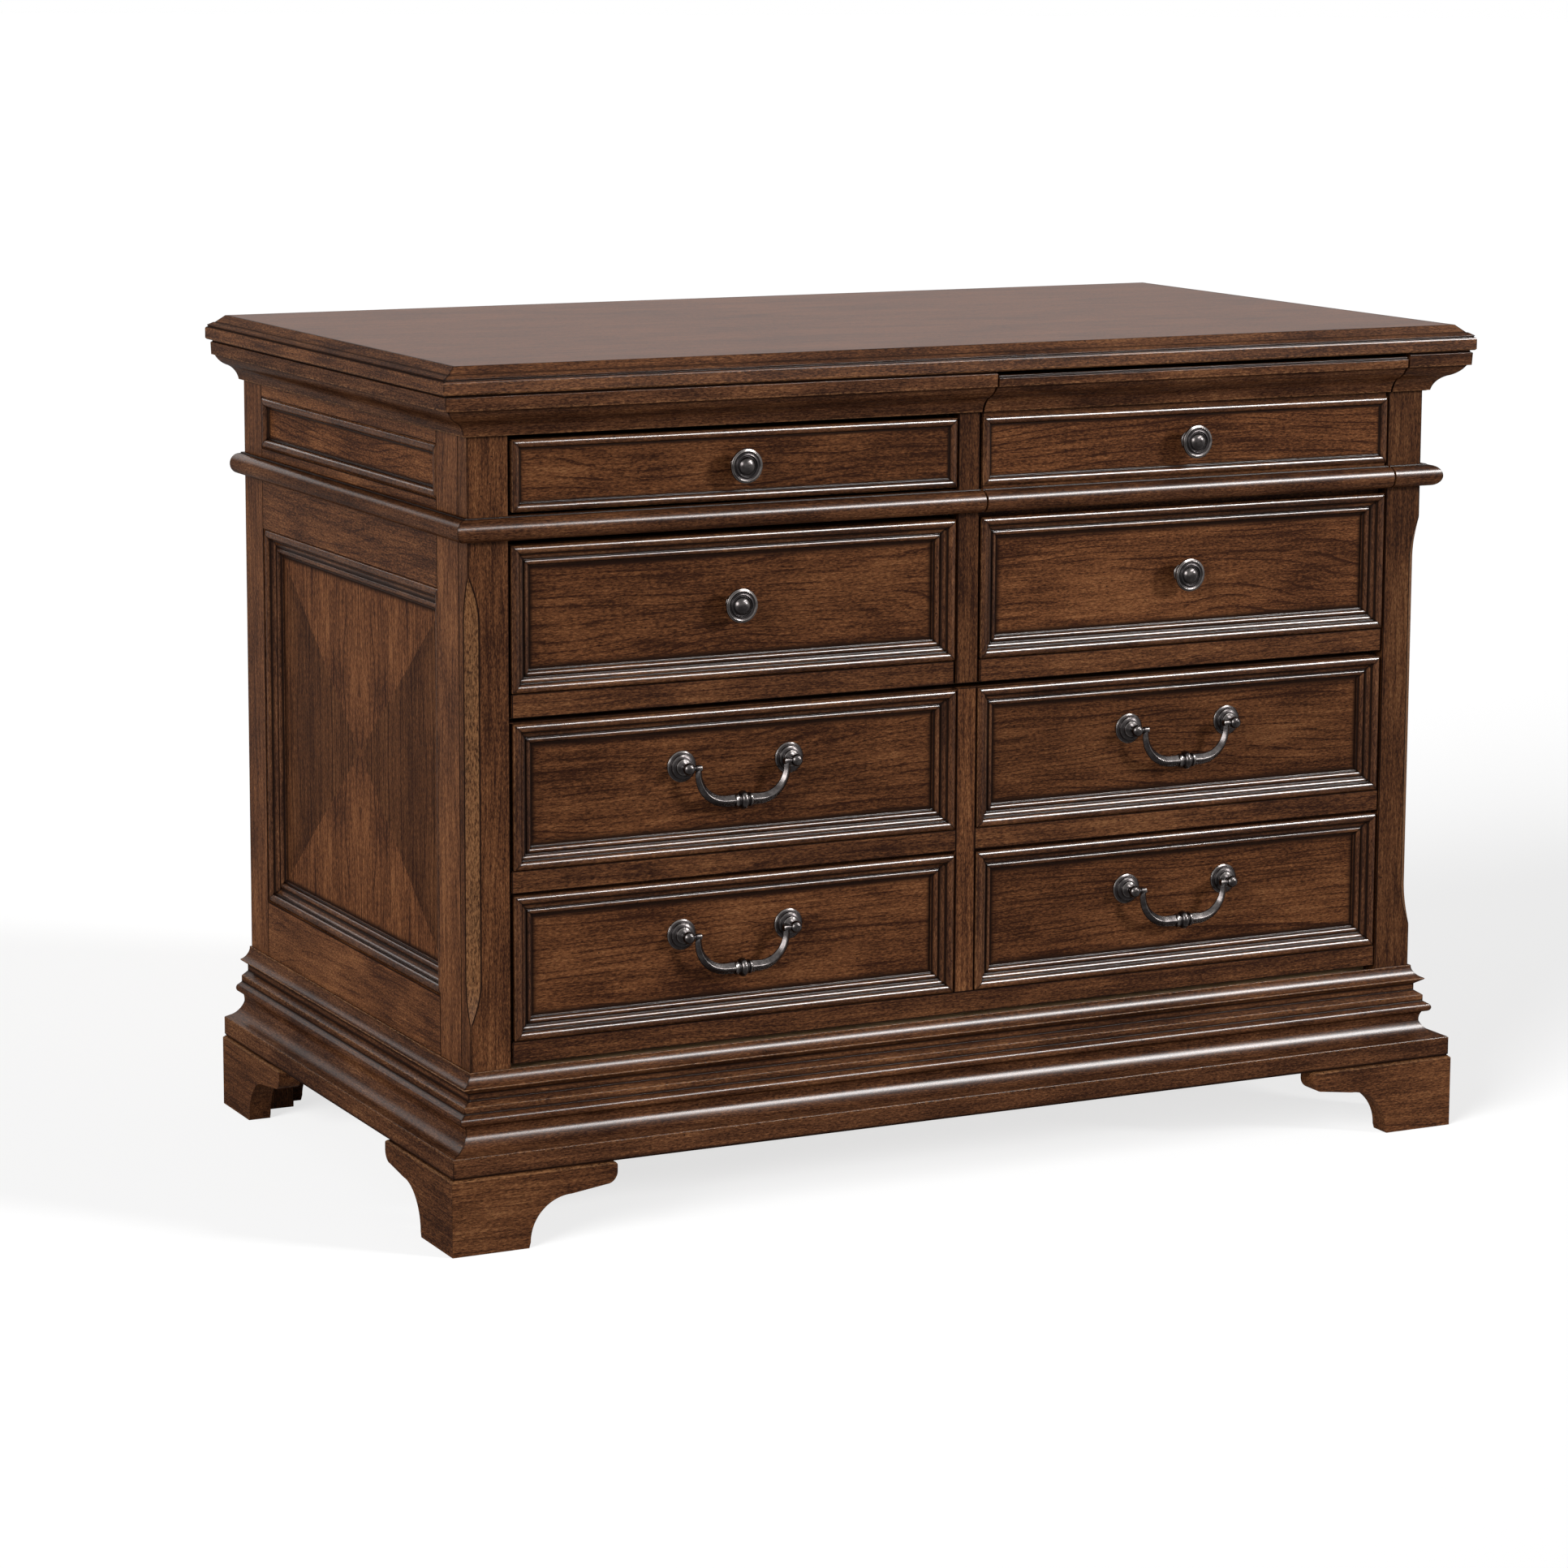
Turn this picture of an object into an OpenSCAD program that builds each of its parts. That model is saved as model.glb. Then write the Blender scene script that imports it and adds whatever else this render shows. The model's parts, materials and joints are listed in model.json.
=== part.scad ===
// Traditional file chest: two small drawers, a tall pull-out with a printer
// tray, and one wide file drawer with four hanging bail pulls.
// The front faces -Y, +X is to the right and Z = 0 is the floor.

/* [Overall] */
// Width of the top from edge to edge
top_w = 1066.8; // [1000:1:1200]
// Depth of the top from edge to edge
top_d = 609.6; // [580:1:680]
// How far the top stands past the case at the front and the sides
overhang = 36; // [34:0.5:44]
// How far the top stands past the case at the back
back_overhang = 8; // [2:0.5:20]

/* [Top] */
// Thickness of the top
top_t = 23.8; // [20:0.1:30]
// Width of the moulded edge around the flat panel
edge_w = 15.5; // [13:0.1:20]
// Height of the upright band on the moulded edge
edge_band_h = 11.8; // [9:0.1:14]

/* [Cornice and bead] */
// Height of the cornice under the top
cornice_h = 40.4; // [36:0.1:50]
// How far the cornice stands out from the case
cornice_out = 33.5; // [30:0.1:33.8]
// Height of the upright fillet at the head of the cornice
cornice_fillet_h = 14.4; // [10:0.1:18]
// Height of the half-round bead band
bead_h = 20.9; // [14:0.1:22]
// How far the bead band stands out from the case
bead_out = 15.5; // [10:0.1:20]
// Gap where the cornice and the bead are cut for the pull-out
cut_gap = 2.3; // [1:0.1:4]
// Gap between the top and the cornice length on the pull-out
lift_gap = 4.2; // [2:0.1:10]

/* [Base and feet] */
// Height of the base moulding
base_h = 88; // [80:1:100]
// How far the flat band of the base stands out from the case
base_out = 29.5; // [27:0.1:31]
// Height of the flat band of the base
base_band_h = 19; // [12:0.1:24]
// Height of the bracket feet
foot_h = 69.6; // [60:0.1:90]
// How far the foot boards stand out past the base band
foot_proud = 2; // [1:0.1:3]
// Thickness of the foot boards
foot_t = 22; // [16:0.5:28]
// Length of a foot board from its corner to the end of its ear
foot_len = 160; // [140:1:190]
// Length of the ear boards along the back
foot_back_len = 120; // [110:1:150]
// Width of a foot where it stands on the floor
foot_w = 73.5; // [55:0.5:85]
// Depth of the ear below the base at its root
ear_h = 24.5; // [18:0.1:30]
// Radius of the arch between foot and ear
foot_arch_r = 40; // [25:0.5:43]
// Side of the square glue block behind each foot
block_w = 32; // [20:1:40]

/* [Case] */
// Width of the front posts
post_w = 38.9; // [32:0.1:50]
// Thickness of the front posts, front to back
post_t = 20.8; // [18:0.1:26]
// Width of the stopped chamfer on the posts, along each face
chamfer = 10.5; // [6:0.1:14]
// Distance from the base to the lower tip of the chamfer
chamfer_low = 36; // [20:1:60]
// Distance from the bead to the upper tip of the chamfer
chamfer_high = 26; // [20:1:60]
// Length of the run-out at each end of the chamfer
chamfer_stop = 46; // [30:1:60]
// Thickness of the side frames
side_t = 20; // [18:0.5:24]
// Width of the stiles in the side frames
side_stile_w = 49.5; // [40:0.5:70]
// Height of the lower side panel, frame to frame
low_panel_h = 370; // [330:1:380]
// Height of the upper side panel, frame to frame
high_panel_h = 49.5; // [40:0.5:52]
// Distance from the base to the lower side panel
low_panel_up = 54.4; // [45:0.1:70]
// Distance from the bead to the upper side panel
high_panel_up = 8.5; // [6:0.1:14]
// How far the side panels lie behind the face of their frame
side_recess = 12; // [9:0.5:12]
// How far the upper side panels lie behind the face of their frame
high_recess = 5; // [4:0.5:9]
// How far the edge of the side moulding lies behind the face of the frame
side_mould_down = 3.5; // [2:0.1:4]
// Thickness of the side panels
panel_t = 8; // [5:0.5:10]
// Width of the moulding around the lower side panel
side_mould_w = 24; // [20:0.5:28]
// Width of the moulding around the upper side panel
high_mould_w = 10.5; // [8:0.1:12]
// Thickness of the back panel
back_t = 8; // [6:0.5:12]
// Thickness of the dust shelf over the file drawer
shelf_t = 12; // [9:0.5:14]
// Thickness of the bottom panel
floor_t = 16; // [12:0.5:20]
// Width of the stile between the two banks
stile_w = 22; // [18:0.5:30]
// Thickness of the cross rails behind the bead and the cornice
rail_t = 20; // [16:0.5:26]

/* [Fronts] */
// Height of the framed field in the tall rows
frame_h = 130.5; // [120:0.5:140]
// How far the fields lie behind the face of the fronts
recess = 9; // [6:0.5:10]
// Width of the stepped moulding on the fronts
frame_mould_w = 19.5; // [17:0.1:23]
// Width of the small moulding on the top row
small_mould_w = 8.4; // [7:0.1:11]
// Height of the top row fronts
top_row_h = 63.4; // [56:0.1:75]
// Height of the flat strips on the file front
strip_h = 20; // [14:0.5:26]
// Height of the flat strip under the second row
upper_strip_h = 21.5; // [14:0.5:26]
// Dark line at each end of a frame on the file front
line_side = 2; // [0.5:0.1:3]
// Dark line between a strip and the frame above it
line_low = 1; // [0.5:0.1:2]
// Dark line between a frame and the strip above it
line_high = 3; // [1:0.1:4]
// Height of the front board above its top frame
cap_h = 1.2; // [0.5:0.1:3]
// Width of the stile that the file front carries
file_stile_w = 20; // [14:0.5:28]
// Thickness of the front boards behind the field
board_t = 16; // [14:0.5:20]
// Thickness of the top row fronts
top_board_t = 20; // [16:0.5:24]
// Gap beside the upper fronts
upper_reveal = 2.8; // [1.5:0.1:4]
// Gap beside the file front
file_reveal = 2; // [1:0.1:3]
// Gap between the base and the file front
base_gap = 3.2; // [1.5:0.1:5]
// Gap between the file front and the upper fronts
break_gap = 4.5; // [3:0.1:6]
// Gap between the second row and the bead
bead_gap = 4.9; // [4:0.1:10]
// Gap between the bead and the top row
bead_top_gap = 3; // [1.5:0.1:5]
// Gap between the top row and the cornice
cornice_gap = 4.3; // [2:0.1:6]

/* [Drawer boxes] */
// How much shorter the slides are than the boxes
slide_short = 10; // [6:1:40]
// Height of the slides
slide_h = 32; // [26:1:36]
// Room for a slide on each side of a box
slide_gap = 12.9; // [12:0.1:14]
// Thickness of the slide steel
slide_steel = 1.5; // [1:0.1:2]
// Thickness of the drawer sides, ends and sub-fronts
box_t = 12; // [10:0.5:16]
// Thickness of the drawer bottoms
bottom_t = 6; // [4:0.5:9]
// Height of a drawer bottom above the lower edge of the sides
bottom_up = 8; // [5:0.5:14]
// Room between the boxes and the back panel
back_room = 42.5; // [30:0.5:80]
// Room over the top drawer box
top_head_room = 12.7; // [8:0.1:20]
// Room over the second drawer box
second_head_room = 32; // [20:0.5:60]
// Room over the file box, where the folders stand up
file_head_room = 24.7; // [14:0.1:50]
// Height of the rails along the printer tray
tray_side_h = 44; // [38:1:70]
// Thickness of the printer tray board
tray_t = 15; // [12:0.5:19]
// Clearance of a box above what lies below it
box_clear = 7; // [5:0.5:12]
// Distance between the two rails for hanging files
file_rail_span = 394; // [318:1:430]
// Distance from the sub-front to the first rail
file_rail_start = 12; // [4:0.5:30]
// Height of the hanging file rails
file_rail_h = 5; // [3:0.5:8]
// Width of the hanging file rails
file_rail_w = 12; // [8:1:20]
// Length of each leg of the brackets between tray and front
bracket_leg = 70; // [40:1:100]
// Thickness of the bracket steel
bracket_t = 3; // [2:0.5:4]

/* [Hardware] */
// Radius of the round knobs
knob_r = 15.7; // [12:0.1:20]
// How far the knobs stand out
knob_out = 21.5; // [18:0.1:28]
// Distance between the two posts of a bail pull
bail_span = 108; // [90:1:130]
// Height of the bail posts above the middle of their field
bail_up = 14; // [5:0.5:20]
// Drop from the pivots to the middle of the bail
bail_drop = 32; // [28:0.5:36]
// Radius of the bend in the bail
bail_bend_r = 27; // [20:0.5:27]
// Radius of the bail rod
bail_r = 2.7; // [2.2:0.1:3.4]
// Radius of the turned knuckle in the middle of the bail
knuckle_r = 8.6; // [6:0.1:10]
// Radius of the rosettes
rosette_r = 14.2; // [11:0.1:16]
// Distance from the field to the pivot of the bail
pivot_out = 16; // [13:0.1:20]
// Radius of the ball on each bail post
ball_r = 4.8; // [4:0.1:6]
// Radius of the pins of the bail
pin_r = 2; // [1.5:0.1:2.4]
// Running clearance around the pins
pin_clear = 0.07; // [0.03:0.01:0.1]
// Radius of the threaded studs
stud_r = 2; // [1.5:0.1:2.5]
// Clearance around the studs in the boards
stud_clear = 0.4; // [0.2:0.1:0.8]

/* [Hidden] */
$fn = 48;

// Gap left at glued joints, so that each board stays its own solid
glue = 0.1;
// Running gap inside the slides
run_gap = 0.4;
// Reach of a cutting shape past what it cuts
past = 60;

// Plan of the case
case_w = top_w - 2 * overhang;
y_front = -top_d / 2 + overhang;
y_back = top_d / 2 - back_overhang;
open_x = case_w / 2 - post_w;
stile_x = stile_w / 2;
inner_x = case_w / 2 - side_t;
y_post = y_front + post_t;
y_inner_back = y_back - back_t;
y_field = y_front + recess;
y_board = y_field + board_t;
y_top_board = y_front + top_board_t;

// Heights, from the floor up
base_z = foot_h + base_h;
file_z = base_z + base_gap;
row_h = strip_h + line_low + frame_h + line_high;
low_frame_z = file_z + strip_h + line_low;
high_frame_z = low_frame_z + row_h;
file_top_z = high_frame_z + frame_h + cap_h;
upper_z = file_top_z + break_gap;
second_frame_z = upper_z + upper_strip_h + line_low;
second_top_z = second_frame_z + frame_h + cap_h;
bead_z = second_top_z + bead_gap;
bead_top_z = bead_z + bead_h;
top_row_z = bead_top_z + bead_top_gap;
top_row_top_z = top_row_z + top_row_h;
cornice_z = top_row_top_z + cornice_gap;
top_z = cornice_z + cornice_h;
shelf_z = upper_z - shelf_t;
low_panel_z = base_z + low_panel_up;
high_panel_z = bead_top_z + high_panel_up;

// Fronts and banks
bank_mid = (stile_x + open_x) / 2;
upper_w = open_x - stile_x - 2 * upper_reveal;
file_w = 2 * (open_x - file_reveal);
file_frame_w = (file_w - file_stile_w) / 2 - 2 * line_side;
file_frame_mid = (file_w + file_stile_w) / 4;
cut_x = stile_x - 0.7;
cut_end_x = open_x - 1.5;
low_bail_z = low_frame_z + frame_h / 2 + bail_up;
high_bail_z = high_frame_z + frame_h / 2 + bail_up;
y_pivot = y_field - pivot_out;

// Drawer boxes
upper_box_x0 = stile_x + slide_gap;
upper_box_x1 = open_x - slide_gap;
file_box_x = open_x - slide_gap;
second_box_z = upper_z + box_clear;
top_box_z = bead_top_z + bead_top_gap + box_clear;
file_box_z = file_z + box_clear;
top_box_h = cornice_z - top_head_room - top_box_z;
second_box_h = bead_z - second_head_room - second_box_z;
file_box_h = shelf_z - file_head_room - file_box_z;
box_d = y_inner_back - back_room - y_board - glue;
slide_len = box_d - slide_short;
y_slide = y_board + 4;
top_slide_z = top_box_z + top_box_h / 2;
second_slide_z = second_box_z + second_box_h / 3;
tray_slide_z = second_box_z + tray_side_h / 2;
file_slide_z = file_box_z + file_box_h / 3;

wood = "#4b2c1e";
wood_dark = "#3a2117";
wood_side = "#5a3324";
inner_wood = "#b08a5c";
steel = "#8f9398";
bronze = "#4a4440";

// Points of a round stretch from a to b. A positive rise bulges to the left.
function arc(a, b, rise, steps = 6) =
    let (
        chord = norm(b - a),
        radius = (chord * chord / 4 + rise * rise) / (2 * abs(rise)),
        along = (b - a) / chord,
        left = [-along[1], along[0]],
        side = rise > 0 ? 1 : -1,
        centre = (a + b) / 2 + left * (rise - side * radius),
        half = asin(min(1, chord / 2 / radius))
    )
    [for (i = [0 : steps]) let (t = -half + 2 * half * i / steps)
        centre + radius * (along * sin(t) + left * side * cos(t))];

// Outlines of the mouldings: how far out, then how high.

function edge_outline() =
    let (w = edge_w, b = edge_band_h, t = top_t, k = (top_t - edge_band_h) / 12)
    [[0, 0], [w * 0.92, 0], [w, w * 0.08], [w, b - w * 0.08], [w * 0.955, b],
     [w * 0.865, b + 0.6 * k], [w * 0.865, b + 1.3 * k], [w * 0.915, b + 2.2 * k],
     [w * 0.594, b + 5 * k], [w * 0.516, b + 5 * k], [0, t]];

// The ogee runs from the foot of the cornice to the underside of its fillet
function cornice_outline(head) =
    let (
        o = cornice_out,
        k = o / 33.5,
        f = cornice_h - cornice_fillet_h,
        foot = [o - 28.5 * k, f * 0.023],
        mid = [o - 17.5 * k, f * 0.57],
        lip = [o - 4.2 * k, f * 0.973]
    )
    concat([[0, 0], [2.5 * k, 0], [2.5 * k, f * 0.023]],
        arc(foot, mid, 2.2 * k), arc(mid, lip, -1.6 * k),
        [[o - 3 * k, f], [o - 0.6 * k, f], [o, head - 2.4 * k],
         [o - 2 * k, head - 1.6 * k], [o - 2 * k, head], [0, head]]);

function bead_outline() =
    let (o = bead_out, r = bead_h * 0.475, wall = o * 0.26)
    concat([[0, 0]],
        [for (a = [-90 : 15 : 90]) [o - r + r * cos(a), r + r * sin(a)]],
        [[wall, 2 * r], [wall, bead_h], [0, bead_h]]);

// Cap with an undercut, fillet, torus and scotia, and a flat band below.
// Both factors are 1 at the drawn size of 29.5 by 88
function base_outline() =
    let (
        o = base_out,
        b = base_band_h,
        kx = base_out / 29.5,
        kz = (base_h - base_band_h) / 69,
        at = function (x, z) [x * kx, b + z * kz]
    )
    concat([[0, 0], [o, 0], [o, b - 0.6 * kz], [o - 0.6 * kx, b]],
        arc(at(24.5, 1), at(8.4, 13.6), 2.6 * kx), arc(at(8.4, 13.6), at(11, 24), kx, 4),
        arc(at(11.6, 24), at(11.6, 32), -5.4 * kx, 8),
        [at(10.8, 34), at(10.8, 40), at(4.2, 44.4), at(4.2, 50.6), at(11.2, 55.4), at(11.9, 56)],
        arc(at(11.9, 56.8), at(2, 66.8), 2 * kx), [at(2, 69), [0, base_h]]);

// Stepped moulding on the fronts: how far in, then how far above the field
function stepped_outline(w, d) =
    let (kx = w / 19.5, kz = d / 9, at = function (x, z) [x * kx, z * kz])
    concat([[0, 0], at(0, 9.4)], arc(at(0.3, 9.7), at(7, 9.3), 2 * kx, 8),
        [at(7.2, 7.8), at(8.2, 7.8)],
        arc(at(8.4, 7.6), at(12.4, 4.8), -kx, 4),
        [at(12.4, 3.6), at(13.3, 3.6)],
        arc(at(13.6, 4.1), at(17.7, 3.2), 1.2 * kx),
        [at(18.1, 1.4), at(19.5, 1.1), [w, 0]]);

// Small rounded moulding around the fields of the top row
function small_outline(w, d) =
    let (k = w / 8.4)
    concat([[0, 0], [0, d + k]], arc([0.3 * k, d + 1.2 * k], [w - 1.6 * k, d + 0.8 * k], 1.9 * k, 8),
        [[w - 1.2 * k, d / 2], [w, d / 2], [w, 0]]);

// A length of moulding along X from a to b that stands out towards -Y.
// A mitre of 1 opens outwards, -1 closes inwards and 0 is a square end.
module run(outline, a, b, mitre_a = 0, mitre_b = 0) {
    reach = max([for (p = outline) p[0]]) + 1;
    top = max([for (p = outline) p[1]]) + 1;
    intersection() {
        translate([a - reach, 0, 0]) rotate([90, 0, 90])
            linear_extrude(b - a + 2 * reach)
                polygon([for (p = outline) [-p[0], p[1]]]);
        translate([0, 0, -1]) linear_extrude(top + 1)
            polygon([[a, 1], [b, 1], [b, 0], [b + mitre_b * reach, -reach],
                [a - mitre_a * reach, -reach], [a, 0]]);
    }
}

// Four mitred lengths around a field that is centred on X and Z
module ring(w, h, outline) {
    for (k = [0 : 3]) {
        long = (k % 2 == 0 ? w : h) - glue;
        away = k % 2 == 0 ? h : w;
        rotate([0, 90 * k, 0]) translate([0, 0, -away / 2]) mirror([0, 0, 1])
            rotate([90, 0, 0]) run(outline, -long / 2, long / 2, -1, -1);
    }
}

// A board between two opposite corners
module board(low, high) {
    translate(low) cube(high - low);
}

module both_sides() {
    children();
    mirror([1, 0, 0]) children();
}

// Turns a length of moulding to the left side of the case
module on_left() {
    translate([-case_w / 2, 0, 0]) rotate([0, 0, -90]) children();
}

// Top

module top_panel() {
    w = top_w / 2 - edge_w;
    d = top_d / 2 - edge_w;
    color(wood_dark) board([-w, -d, top_z], [w, d, top_z + top_t]);
}

module top_edge_front() {
    w = top_w / 2 - edge_w;
    color(wood) translate([0, -top_d / 2 + edge_w, top_z])
        run(edge_outline(), -w, w, 1, 1);
}

module top_edge_back() {
    rotate([0, 0, 180]) top_edge_front();
}

module top_edge_sides() {
    d = top_d / 2 - edge_w;
    color(wood_side) both_sides()
        translate([-top_w / 2 + edge_w, 0, top_z]) rotate([0, 0, -90])
            run(edge_outline(), -d, d, 1, 1);
}

// Cornice and bead

module front_run(outline, z, a, b, mitre_a, mitre_b) {
    translate([0, y_front, z]) run(outline, a, b, mitre_a, mitre_b);
}

module side_runs(outline, z) {
    both_sides() on_left() translate([0, 0, z])
        run(outline, -y_back, -y_front, 0, 1);
}

module cornice_front() {
    color(wood) front_run(cornice_outline(cornice_h), cornice_z, -case_w / 2, cut_x, 1, 0);
}

module cornice_front_end() {
    color(wood) front_run(cornice_outline(cornice_h), cornice_z,
        cut_end_x + cut_gap, case_w / 2, 0, 1);
}

module cornice_sides() {
    color(wood_side) side_runs(cornice_outline(cornice_h), cornice_z);
}

module bead_front() {
    color(wood) front_run(bead_outline(), bead_z, -case_w / 2, cut_x, 1, 0);
}

module bead_front_end() {
    color(wood) front_run(bead_outline(), bead_z, cut_end_x + cut_gap, case_w / 2, 0, 1);
}

module bead_sides() {
    color(wood_side) side_runs(bead_outline(), bead_z);
}

// Base and feet

module base_front() {
    color(wood) front_run(base_outline(), foot_h, -case_w / 2, case_w / 2, 1, 1);
}

module base_sides() {
    color(wood_side) side_runs(base_outline(), foot_h);
}

// One foot board in X and Z, from its corner at X = 0
module foot_shape(long) {
    ear_z = foot_h - ear_h;
    end_r = 11;
    nose_r = 4;
    arch_x = foot_w + 1.5;
    arch_z = ear_z - foot_arch_r;
    ear_rise = 4.5;
    difference() {
        square([long, foot_h]);
        polygon([[foot_w, -1], [foot_w, 0], [arch_x, arch_z],
            [arch_x + foot_arch_r, arch_z], [arch_x + foot_arch_r, ear_z],
            [long - end_r, ear_z + ear_rise], [long + 1, ear_z + ear_rise], [long + 1, -1]]);
        intersection() {
            translate([arch_x + foot_arch_r, arch_z]) circle(r = foot_arch_r);
            translate([arch_x, arch_z]) square([foot_arch_r + 0.01, foot_arch_r]);
        }
        translate([long - end_r, ear_z + ear_rise]) difference() {
            square([end_r + 1, end_r]);
            translate([0, end_r]) circle(r = end_r);
        }
        translate([long - nose_r, foot_h - nose_r]) difference() {
            square(nose_r + 1);
            circle(r = nose_r);
        }
    }
}

// A foot board that faces -Y, mitred at X = 0, with its top edge rounded
module foot_board(long) {
    round_r = foot_proud;
    intersection() {
        translate([0, foot_t, 0]) rotate([90, 0, 0]) linear_extrude(foot_t) foot_shape(long);
        linear_extrude(foot_h)
            polygon([[0, 0], [long, 0], [long, foot_t], [foot_t, foot_t]]);
        translate([-1, 0, 0]) rotate([90, 0, 90]) linear_extrude(long + 2) union() {
            translate([0, -1]) square([foot_t, foot_h + 1 - round_r]);
            translate([round_r, 0]) square([foot_t - round_r, foot_h]);
            translate([round_r, foot_h - round_r]) circle(r = round_r);
        }
    }
}

// Corner of the front left foot in plan
foot_x = case_w / 2 + base_out + foot_proud;
foot_y = y_front - base_out - foot_proud;

module front_foot() {
    color(wood) translate([-foot_x, foot_y, 0]) {
        foot_board(foot_len);
        mirror([1, -1, 0]) translate([0.05, -0.05, 0]) foot_board(foot_len);
    }
}

module back_foot() {
    color(wood_side) translate([-foot_x, y_back, 0]) mirror([0, 1, 0]) {
        foot_board(foot_back_len);
        mirror([1, -1, 0]) translate([0.05, -0.05, 0]) foot_board(foot_len);
    }
}

module foot_front_left() {
    front_foot();
}

module foot_front_right() {
    mirror([1, 0, 0]) front_foot();
}

module foot_back_left() {
    back_foot();
}

module foot_back_right() {
    mirror([1, 0, 0]) back_foot();
}

module glue_blocks() {
    in = foot_t + glue;
    x0 = -foot_x + in;
    lift = 3;
    color(inner_wood) both_sides() {
        board([x0, foot_y + in, lift], [x0 + block_w, foot_y + in + block_w, foot_h]);
        board([x0, y_back - in - block_w, lift], [x0 + block_w, y_back - in, foot_h]);
    }
}

// Case

// How deep the chamfer is at a share t of its run-out, in the shape of a tongue
function tongue(t) = let (u = pow(t, 0.65)) u * u * (3 - 2 * u);

// Cutter for the stopped chamfer. Its flat face lies across the corner of the post
module chamfer_cutter() {
    low = base_z + chamfer_low;
    high = bead_z - chamfer_high;
    deep = chamfer / sqrt(2);
    skip = 0.4;
    steps = 12;
    points = [for (i = [0 : steps]) let (t = i / steps)
        [(deep + skip) * tongue(t) - skip, chamfer_stop * t]];
    translate([-case_w / 2, y_front, 0]) rotate([0, 0, -45]) rotate([90, 0, 0])
        translate([0, 0, -past / 2]) linear_extrude(past)
            polygon(concat([[-past, low]], [for (p = points) [p[0], low + p[1]]],
                [for (i = [steps : -1 : 0]) [points[i][0], high - points[i][1]]],
                [[-past, high]]));
}

module post() {
    color(wood) difference() {
        board([-case_w / 2, y_front, foot_h], [-open_x, y_post, top_z]);
        chamfer_cutter();
    }
}

module post_left() {
    post();
}

module post_right() {
    mirror([1, 0, 0]) post();
}

// Stiles and rails of the left side, each its own board
module side_frame() {
    x0 = -case_w / 2;
    x1 = -inner_x;
    y0 = y_post + glue;
    y1 = y_post + side_stile_w;
    y2 = y_back - side_stile_w;
    color(wood_side) {
        board([x0, y0, foot_h], [x1, y1, top_z]);
        board([x0, y2, foot_h], [x1, y_back, top_z]);
        for (z = [[foot_h, low_panel_z], [low_panel_z + low_panel_h, high_panel_z],
                  [high_panel_z + high_panel_h, top_z]])
            board([x0, y1 + glue, z[0]], [x1, y2 - glue, z[1]]);
    }
}

module side_frame_left() {
    side_frame();
}

module side_frame_right() {
    mirror([1, 0, 0]) side_frame();
}

panel_y0 = y_post + side_stile_w;
panel_y1 = y_back - side_stile_w;
panel_ymid = (panel_y0 + panel_y1) / 2;
panel_w = panel_y1 - panel_y0 - 2 * glue;

module side_panels() {
    color(wood_side) both_sides()
        for (p = [[low_panel_z, low_panel_h, side_recess],
                  [high_panel_z, high_panel_h, high_recess]])
            translate([-case_w / 2 + p[2], 0, p[0]])
                board([0, panel_y0 + glue, glue], [panel_t, panel_y1 - glue, p[1] - glue]);
}

module side_mouldings() {
    x0 = -case_w / 2 - glue;
    color(wood_side) both_sides() {
        translate([x0 + side_recess, panel_ymid, low_panel_z + low_panel_h / 2]) rotate([0, 0, -90])
            ring(panel_w, low_panel_h - 2 * glue,
                stepped_outline(side_mould_w, side_recess - side_mould_down));
        translate([x0 + high_recess, panel_ymid, high_panel_z + high_panel_h / 2])
            rotate([0, 0, -90])
                ring(panel_w, high_panel_h - 2 * glue,
                    small_outline(high_mould_w, high_recess - 2.8));
    }
}

module centre_stile() {
    color(wood) board([-stile_x, y_front, upper_z], [stile_x, y_post, top_z]);
}

module centre_divider() {
    color(inner_wood) board([-stile_x, y_post + glue, upper_z],
        [stile_x, y_inner_back - glue, top_z]);
}

// Rails across the left bank, and one under the top at the back
module cross_rails() {
    x0 = -open_x + glue;
    x1 = -stile_x - glue;
    color(wood_dark) {
        board([x0, y_front, bead_z], [x1, y_front + rail_t, bead_top_z]);
        board([x0, y_front, cornice_z], [x1, y_front + rail_t, top_z]);
        for (x = [[-inner_x + glue, -stile_x - glue], [stile_x + glue, inner_x - glue]])
            board([x[0], y_inner_back - glue - rail_t, cornice_z],
                [x[1], y_inner_back - glue, top_z]);
    }
}

module back_panel() {
    color(inner_wood) board([-inner_x + glue, y_inner_back, foot_h + base_h / 2],
        [inner_x - glue, y_back, top_z]);
}

module dust_shelf() {
    color(inner_wood) board([-inner_x + glue, y_board + 2, shelf_z],
        [inner_x - glue, y_inner_back - glue, upper_z]);
}

module bottom_panel() {
    color(inner_wood) board([-inner_x + glue, y_post + glue, base_z - floor_t],
        [inner_x - glue, y_inner_back - glue, base_z]);
}

// Slides: the fixed channel stands on the wall at X = 0 and opens to +X

module slide_channel() {
    h = slide_h / 2;
    deep = slide_gap - 2.5;
    rotate([90, 0, 0]) mirror([0, 0, 1]) linear_extrude(slide_len) difference() {
        translate([0, -h]) square([deep, slide_h]);
        translate([slide_steel, -h + slide_steel])
            square([deep, slide_h - 2 * slide_steel]);
    }
}

// The runner fills the channel but for its running gap, up to the box side
module slide_runner() {
    h = slide_h / 2 - slide_steel - run_gap;
    x0 = slide_steel + run_gap;
    board([x0, 0, -h], [slide_gap - glue, slide_len, h]);
}

// Places the pair of slides for an opening between two walls
module slide_pair(wall_a, wall_b, z) {
    translate([wall_a, y_slide, z]) children();
    translate([wall_b, y_slide, z]) mirror([1, 0, 0]) children();
}

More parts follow.
